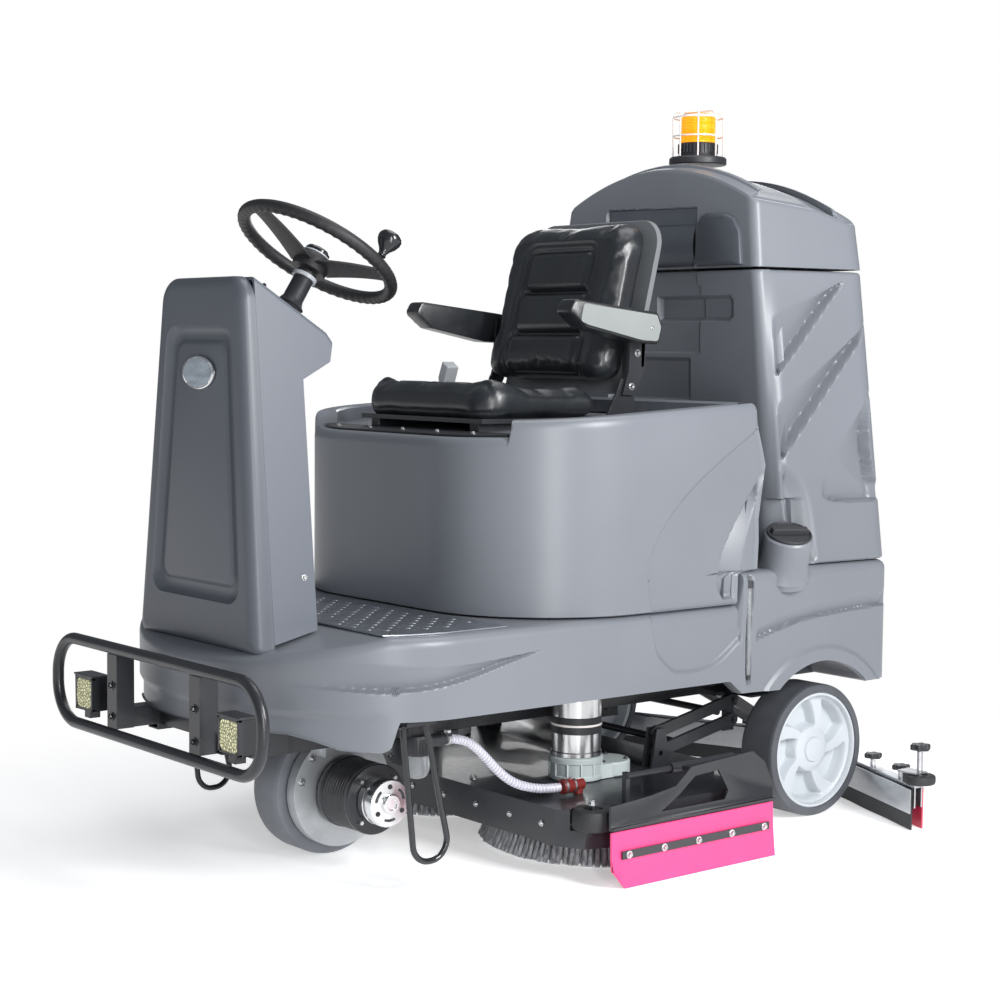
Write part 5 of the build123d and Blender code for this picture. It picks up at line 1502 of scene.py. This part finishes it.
def make_water():
    line = hose_line()
    length = sum((b - a).length for a, b in zip(line, line[1:]))
    kit = Kit()
    kit.sweep(line, 0.0088, 0, 24)
    normal, spiral = None, []
    for k, p in enumerate(line):
        tangent = (line[min(k + 1, len(line) - 1)] - line[max(k - 1, 0)]).normalized()
        if normal is None:
            normal = tangent.orthogonal().normalized()
        normal = (normal - tangent * normal.dot(tangent)).normalized()
        spiral.append((p, tangent, normal.copy()))
    steps = [(b - a).length for a, b in zip(line, line[1:])]
    runs = np.concatenate([[0], np.cumsum(steps)])
    coil = []
    for s in np.arange(0.004, length - 0.004, 0.0009):
        k = min(int(np.searchsorted(runs, s)), len(line) - 1)
        j = max(0, k - 1)
        t = (s - runs[j]) / max(1e-9, runs[k] - runs[j])
        p = spiral[j][0].lerp(spiral[k][0], t)
        n = spiral[j][2].lerp(spiral[k][2], t).normalized()
        b = spiral[j][1].cross(n)
        a = s / 0.0072 * 2 * math.pi
        coil.append(p + (n * math.cos(a) + b * math.sin(a)) * 0.0088)
    kit.sweep(coil, 0.0013, 1, 6)
    hose = kit.make("clear_hose_tube", "chassis", "clear_hose", [HOSE_WALL, HOSE_COIL], 0.0,
                    ("solution_hose",))
    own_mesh(hose)
    kit = Kit()
    kit.lathe([(TIP, 0.262), (0.029, 0.262), (0.030, 0.264), (0.030, 0.297), (0.028, 0.301), (TIP, 0.302)],
              FILTER_AXIS, UP, 0, 48)
    kit.lathe([(TIP, -0.520), (0.012, -0.520), (0.012, -0.470), (0.0135, -0.468), (0.0135, -0.464),
               (0.0115, -0.462), (0.0115, -0.4535), (TIP, -0.4535)],
              (0.352, 0, 0.284), ALONG_Y, 0, 32)
    kit.box((0.336, -0.549, 0.301), (0.364, -0.491, 0.334))
    for k in range(28):
        a = 2 * math.pi * k / 28
        kit.box((0.350 + 0.0298 * math.cos(a) - 0.0012, -0.520 + 0.0298 * math.sin(a) - 0.0012, 0.266),
                (0.350 + 0.0298 * math.cos(a) + 0.0012, -0.520 + 0.0298 * math.sin(a) + 0.0012, 0.294))
    kit.make("filter_head", "chassis", "filter_black", BLACK_PLASTIC, 0.0007, ("solution_filter",))
    kit = Kit()
    bowl = [(TIP, 0.214), (0.008, 0.2145), (0.016, 0.217), (0.0225, 0.223), (0.025, 0.231), (0.025, 0.2609),
            (TIP, 0.2609)]
    kit.lathe(bowl, FILTER_AXIS, UP, 0, 48)
    kit.post(0.014, 0.222, 0.2605, FILTER_AXIS, UP, 1, 32)
    kit.make("filter_bowl", "chassis", "filter_black", [CLEAR, PU_TYRE])
    kit = Kit()
    ring = [(0.0108, 0), (0.0125, 0.0005), (0.0125, 0.0085), (0.0108, 0.009)]
    kit.lathe(ring, (0.352, -0.4515, 0.284), (0, 1, -0.05), 0, 32, closed=True)
    kit.box((0.346, -0.4510, 0.2955), (0.358, -0.4430, 0.3015))
    kit.make("upper_hose_clamp", "chassis", "bright_steel", ZINC, 0.0004)
    kit = Kit()
    kit.lathe([(TIP, -0.186), (0.0145, -0.186), (0.015, -0.184), (0.015, -0.156), (0.0135, -0.152),
               (0.012, -0.151), (0.012, -0.130), (0.010, -0.128), (TIP, -0.128)],
              (0.394, 0, 0.160), ALONG_Y, 0, 40)
    kit.post(0.010, 0.141, 0.160, (0.394, -0.140, 0), UP, 0, 28)
    for y in (-0.182, -0.160):
        kit.lathe([(0.0150, y), (0.0162, y), (0.0162, y + 0.005), (0.0150, y + 0.005)], (0.394, 0, 0.160),
                  ALONG_Y, 1, 32, closed=True)
    kit.make("deck_coupling", "deck", "fitting_red", [RED_BROWN, ZINC], 0.0004, ("hose_fitting",))
    kit = Kit()
    kit.post(0.0045, 0.342, 0.556, LEVEL_TUBE, UP, 0, 24)
    for z in (0.342, 0.546):
        kit.lathe([(0.0046, z), (0.0056, z + 0.001), (0.0056, z + 0.009), (0.0046, z + 0.010)], LEVEL_TUBE,
                  UP, 1, 24, closed=True)
    kit.post(0.0085, 0.540, 0.5558, LEVEL_TUBE, UP, 1, 6)
    kit.make("level_tube", "chassis", "clear_hose", [CLEAR, BLACK_PLASTIC], 0.0, ("sight_tube",))
    mouth, axis = FILLER_MOUTH, (FILLER_MOUTH - FILLER_FOOT).normalized()
    kit = Kit()
    rim = [(TIP, -0.016), (0.038, -0.016), (0.038, 0.001), (0.0490, 0.001), (0.0500, 0.003),
           (0.0490, 0.0062), (0.0455, 0.0070), (0.0440, 0.0040), (TIP, 0.0040)]
    kit.lathe(rim, mouth, axis, 0, 64)
    across = Vector(UP).cross(axis).normalized()
    other = axis.cross(across)
    half_a, half_b, top = 0.043, 0.010, 0.016
    turns = ((-1, -1), (1, -1), (1, 1), (-1, 1))
    low = [mouth + axis * 0.0038 + across * half_a * u + other * half_b * v for u, v in turns]
    high = [mouth + axis * top + across * half_a * 0.92 * u + other * half_b * 0.8 * v for u, v in turns]
    kit.sheet([low, high], 0, wrap_v=True, caps=True)
    kit.make("tank_cap", "filler_cap", "black_plastic", BLACK_PLASTIC, 0.0012, ("filler_cap",))


# ---------------------------------------------------------------- scrub deck
def make_deck():
    dressed("deck_plate", "deck", "black_steel", BLACK_STEEL, 0.0016)
    kit = Kit()
    for x in (-0.43, -0.33, -0.22, -0.11, 0.0, 0.11, 0.22, 0.33, 0.43):
        kit.bolt((x, -0.2685, 0.104), (0, -1, 0), 0.0042, 0, False)
    for x, y in ((0.50, -0.19), (-0.50, -0.19), (0.51, 0.22), (-0.51, 0.22), (0.15, -0.22), (-0.15, -0.22)):
        kit.bolt((x, y, 0.140), UP, 0.006)
    for side in (1, -1):
        kit.bolt((side * DECK_ROLLER_X, DECK_ROLLER_Y, 0.152), UP, 0.007)
    kit.make("deck_bolts", "deck", "black_steel", ZINC)
    for word, side in (("left", 1), ("right", -1)):
        kit = Kit()
        profile = [(0.00706, 0.103), (0.034, 0.103), (0.0395, 0.105), (0.042, 0.111), (0.042, 0.137),
                   (0.0395, 0.143), (0.034, 0.145), (0.020, 0.145), (0.018, 0.141), (0.00706, 0.141)]
        kit.lathe(profile, (side * DECK_ROLLER_X, DECK_ROLLER_Y, 0), UP, 0, 56, closed=True)
        kit.make(f"corner_roller_{word}", f"deck_roller_{word}", "black_rubber", RUBBER, 0.0,
                 (f"deck_roller_{word}",))
        make_brush_look(word, side)
        make_guard(word, side)
    for name in ("upper_links", "lower_links"):
        dressed(name, name, "bright_steel", BLACK_STEEL, 0.0012)
    kit = Kit()
    for side in (1, -1):
        x = side * BRUSH_X
        can = [(TIP, 0.190), (0.0525, 0.190), (0.054, 0.192), (0.054, 0.200), (0.0525, 0.202),
               (0.0525, 0.322), (0.054, 0.324), (0.054, 0.332), (0.051, 0.337), (0.018, 0.338),
               (TIP, 0.338)]
        kit.lathe(can, (x, MOTOR_Y, 0), UP, 0, 64)
        kit.lathe([(0.0526, 0.240), (0.0538, 0.241), (0.0538, 0.275), (0.0526, 0.276)], (x, MOTOR_Y, 0), UP,
                  1, 64, closed=True)
        kit.lathe([(0.0538, 0.256), (0.0545, 0.2565), (0.0545, 0.2605), (0.0538, 0.261)], (x, MOTOR_Y, 0),
                  UP, 3, 64, closed=True)
        lobe = [(TIP, 0.141), (0.056, 0.141), (0.058, 0.143), (0.058, 0.150), (0.056, 0.152),
                (0.056, 0.176), (0.058, 0.178), (0.058, 0.188), (0.056, 0.190), (TIP, 0.190)]
        kit.lathe(lobe, (x, MOTOR_Y, 0), UP, 2, 64)
        kit.lathe([(TIP, 0.098), (0.014, 0.098), (0.014, 0.141), (0.052, 0.141), (0.055, 0.144),
                   (0.055, 0.168), (0.052, 0.172), (TIP, 0.172)], (x, BRUSH_Y, 0), UP, 2, 56)
        kit.box((x - 0.050, -0.042, 0.1412), (x + 0.050, 0.040, 0.1715), 2)
        for a in range(0, 360, 30):
            u, v = math.cos(math.radians(a)), math.sin(math.radians(a))
            kit.box((x + 0.0565 * u - 0.002, MOTOR_Y + 0.0565 * v - 0.002, 0.151),
                    (x + 0.0565 * u + 0.002, MOTOR_Y + 0.0565 * v + 0.002, 0.178), 2)
        for a in (45, 135, 225, 315):
            kit.bolt((x + 0.044 * math.cos(math.radians(a)), BRUSH_Y + 0.044 * math.sin(math.radians(a)),
                      0.172), UP, 0.0035, 1)
    kit.make("brush_motors", "deck", "grey_gearbox", [BRIGHT, BLACK_PLASTIC, GEARBOX, WHITE_WIRE], 0.0005,
             ("brush_drives",))


def make_brush_look(word, side):
    x = side * BRUSH_X
    kit = Kit()
    ring = [(0.01406, 0.097), (0.01406, 0.118), (0.058, 0.118), (0.060, 0.116), (0.060, 0.090),
            (0.064, 0.088), (0.247, 0.088), (0.250, 0.085), (0.250, 0.058), (0.012, 0.058), (0.012, 0.097)]
    kit.lathe(ring, (x, BRUSH_Y, 0), UP, 0, 96, closed=True)
    random = np.random.default_rng(7)
    for row, (inner, outer, count) in enumerate(((0.238, 0.262, 120), (0.225, 0.246, 110),
                                                 (0.210, 0.228, 100), (0.180, 0.194, 80),
                                                 (0.150, 0.160, 64), (0.120, 0.126, 52))):
        for k in range(count):
            a = 2 * math.pi * (k + 0.5 * (row % 2)) / count + random.uniform(-0.006, 0.006)
            flare = outer + random.uniform(-0.003, 0.005)
            bend = random.uniform(-0.012, 0.012)
            low = (x + flare * math.cos(a + bend), BRUSH_Y + flare * math.sin(a + bend), 0.0032)
            middle = (x + (inner * 0.6 + flare * 0.4) * math.cos(a + bend * 0.3),
                      BRUSH_Y + (inner * 0.6 + flare * 0.4) * math.sin(a + bend * 0.3), 0.030)
            top = (x + inner * math.cos(a), BRUSH_Y + inner * math.sin(a), 0.060)
            kit.sweep([top, middle, low], lambda t: 0.0040 + 0.0022 * t, 1, 6)
    kit.make(f"brush_{word}_bristles", f"brush_{word}", "bristle", [BLACK_PLASTIC, BRISTLE], 0.0,
             (f"brush_{word}",))


def make_guard(word, side):
    dressed(f"guard_bracket_{word}", f"guard_{word}", "black_steel", BLACK_STEEL, 0.0012)
    kit = Kit()
    section = [(0.5965, 0.112), (0.5968, 0.085), (0.5972, 0.060), (0.5998, 0.030), (0.6042, 0.0),
               (0.6098, 0.0), (0.6062, 0.030), (0.6030, 0.060), (0.6018, 0.085), (0.6008, 0.112)]
    rows = []
    for y in np.linspace(-0.236, 0.219, 60):
        cut = max(0.0, -0.236 + 0.030 - y)
        rows.append([(side * x, y, max(z, cut * 1.2)) for x, z in section])
    kit.sheet(rows, 0, wrap_v=True, caps=True)
    kit.make(f"guard_{word}_blade", f"guard_{word}", "pink_rubber", PINK, 0.0008, (f"guard_blade_{word}",))
    kit = Kit()
    for y in (-0.195, -0.10, -0.005, 0.09, 0.185):
        kit.bolt((side * 0.608, y, 0.066), (side, 0, 0), 0.0052)
    kit.make(f"guard_{word}_bolts", f"guard_{word}", "black_steel", ZINC)


# ---------------------------------------------------------------- squeegee
def make_squeegee():
    dressed("squeegee_arm", "squeegee", "black_steel", BLACK_STEEL, 0.0015)
    dressed("squeegee_channel", "squeegee", "squeegee_alu", ALUMINIUM, 0.0012)
    slope, half = SQUEEGEE_SLOPE, 0.647
    kit = Kit()
    for front, rear, low, look in ((0.872, 0.877, 0.002, 0), (0.909, 0.914, 0.0, 1)):
        rows = []
        for x in np.linspace(-half, half, 121):
            shift = -slope * abs(x) + 0.0012 * math.sin(x * 38) * (0.3 if look else 1)
            rows.append([(x, front + shift, 0.092), (x, rear + shift, 0.092), (x, rear + shift, 0.030),
                         (x, rear + shift, low),
                         (x, front + shift, low), (x, front + shift, 0.030)])
        kit.sheet(rows, look, wrap_v=True, caps=True)
    kit.make("squeegee_rubbers", "squeegee", "pink_rubber", [RUBBER, RED_BLADE], 0.0005,
             ("squeegee_blades",))
    kit = Kit()
    rows = []
    for x in np.linspace(-half, half, 41):
        shift = -slope * abs(x)
        rows.append([(x, y + shift, z) for y, z in ((0.8680, 0.0925), (0.8705, 0.0925), (0.8705, 0.038),
                                                    (0.8680, 0.038))])
    kit.sheet(rows, 0, wrap_v=True, caps=True)
    kit.make("squeegee_clamp_strip", "squeegee", "squeegee_alu", ALUMINIUM, 0.0008)
    kit = Kit()
    for x in (-0.576, -0.455, 0.455, 0.576):
        y = 0.893 - slope * abs(x)
        kit.post(0.006, 0.1005, 0.118, (x, y, 0), UP, 1, 24)
        star_grip(kit, (x, y, 0.118), 0.021, 0.0125)
    kit.make("star_grips", "squeegee", "black_plastic", [BLACK_PLASTIC, ZINC], 0.0005,
             ("squeegee_star_nuts",))
    for word, side in (("left", 1), ("right", -1)):
        kit = Kit()
        kit.post(0.007, 0.131, 0.176, (side * SQUEEGEE_END_X, SQUEEGEE_END_Y, 0), UP, 1, 24)
        star_grip(kit, (side * SQUEEGEE_END_X, SQUEEGEE_END_Y, 0.176), 0.0232, 0.0142)
        kit.make(f"end_grip_{word}", f"squeegee_knob_{word}", "black_plastic", [BLACK_PLASTIC, ZINC],
                 0.0005, (f"squeegee_knob_{word}",))
        kit = Kit()
        wheel = [(0.00606, 0.102), (0.031, 0.102), (0.034, 0.104), (0.035, 0.108), (0.035, 0.116),
                 (0.034, 0.120), (0.031, 0.122), (0.018, 0.122), (0.016, 0.1195), (0.00606, 0.1195)]
        kit.lathe(wheel, (side * SQUEEGEE_END_X, SQUEEGEE_END_Y, 0), UP, 0, 56, closed=True)
        kit.make(f"end_roller_{word}", f"squeegee_roller_{word}", "black_rubber", RUBBER, 0.0,
                 (f"squeegee_roller_{word}",))


def star_grip(kit, foot, radius, height):
    """Six-lobed hand nut."""
    rows = []
    for share, rise in ((0.80, 0.0), (0.97, 0.0012), (1.0, 0.004), (1.0, height - 0.003),
                        (0.93, height - 0.0006), (0.6, height), (0.1, height)):
        ring = []
        for a in np.linspace(0, 2 * math.pi, 72, endpoint=False):
            size = radius * share * (0.86 + 0.14 * math.cos(6 * a))
            ring.append((foot[0] + size * math.cos(a), foot[1] + size * math.sin(a), foot[2] + rise))
        rows.append(ring)
    kit.sheet(rows, 0, wrap_v=True, caps=True)


# ---------------------------------------------------------------- beacon and inner units
def make_beacon():
    centre = (0, BEACON_Y, 0)
    kit = Kit()
    foot = [(TIP, 1.4847), (0.066, 1.4847), (0.068, 1.487), (0.068, 1.499), (0.065, 1.503), (0.049, 1.503),
            (0.0465, 1.506), (0.045, 1.512), (0.045, 1.533), (0.0435, 1.536), (TIP, 1.536)]
    kit.lathe(foot, centre, UP, 0, 72)
    for k in range(32):
        a = 2 * math.pi * k / 32
        turn = Matrix.Translation(centre) @ Matrix.Rotation(a, 4, "Z")
        kit.box((0.0440, -0.0022, 1.512), (0.0475, 0.0022, 1.534), 0, turn)
    kit.make("beacon_foot", "lid", "black_plastic", BLACK_PLASTIC, 0.0008, ("beacon_base",))
    kit = Kit()
    for z in (1.552, 1.596):
        hoop = [(CAGE_R * math.cos(a), BEACON_Y + CAGE_R * math.sin(a), z)
                for a in np.linspace(0, 2 * math.pi, 72, endpoint=False)]
        kit.sweep(hoop, CAGE_WIRE_R, 0, 10, closed=True)
    for k in range(4):
        a = math.pi * k / 4
        u, v = math.cos(a), math.sin(a)
        corners = [(share * u, BEACON_Y + share * v, z) for share, z in
                   ((-CAGE_R, 1.503), (-CAGE_R, 1.610), (CAGE_R, 1.610), (CAGE_R, 1.503))]
        kit.sweep(rounded(corners, 0.018, 8), CAGE_WIRE_R, 0, 10)
    kit.make("beacon_cage", "lid", "black_plastic", WHITE_WIRE)
    kit = Kit()
    lens = [(TIP, 1.5366), (0.0438, 1.5366)]
    for k in range(14):
        z = 1.539 + k * 0.0040
        lens += [(0.0440, z), (0.0427, z + 0.0022)]
    lens += [(0.0425, 1.595), (0.038, 1.600), (0.028, 1.602), (TIP, 1.602)]
    kit.lathe(lens, centre, UP, 0, 72)
    kit.make("beacon_dome", "lid", "amber", AMBER, 0.0, ("beacon_lens",))
    kit = Kit()
    kit.lathe([(TIP, 1.5367), (0.016, 1.5367), (0.016, 1.570), (0.012, 1.580), (TIP, 1.582)], centre, UP, 0,
              32)
    kit.make("beacon_lamp", "lid", "amber", REFLECTOR)


def make_inner():
    dressed("chassis_frame", "chassis", "black_steel", BLACK_STEEL, 0.0015)
    kit = Kit()
    for x0 in (-0.308, 0.004):
        for y0 in (-0.290, -0.094):
            kit.box((x0, y0, 0.434), (x0 + 0.304, y0 + 0.192, 0.668))
            kit.box((x0 + 0.004, y0 + 0.004, 0.668), (x0 + 0.300, y0 + 0.188, 0.676))
            for k in range(3):
                kit.lathe([(TIP, 0.676), (0.016, 0.676), (0.016, 0.684), (TIP, 0.686)],
                          (x0 + 0.062 + 0.09 * k, y0 + 0.096, 0), UP, 0, 24)
            for side in (0.030, 0.274):
                kit.lathe([(TIP, 0.676), (0.009, 0.676), (0.008, 0.690), (TIP, 0.690)],
                          (x0 + side, y0 + 0.030, 0), UP, 1, 20)
    kit.make("battery_blocks", "chassis", "battery_case", [BLACK_PLASTIC, ZINC], 0.003, ("battery_pack",))
    kit = Kit()
    kit.lathe([(TIP, 0.5061), (0.056, 0.5061), (0.058, 0.509), (0.058, 0.596), (0.055, 0.600),
               (0.044, 0.601), (0.044, 0.655), (0.040, 0.660), (TIP, 0.660)], (0, 0.178, 0), UP, 0, 56)
    kit.make("suction_motor", "chassis", "motor_steel", BRIGHT, 0.0, ("vacuum_motor",))


make_camera()
make_studio()
make_floor()
make_body()
make_hood()
make_tank()
make_lid()
make_pod()
make_steering()
make_cushions()
make_seat_frame()
make_rear_wheels()
make_drive()
make_front()
make_water()
make_deck()
make_squeegee()
make_beacon()
make_inner()
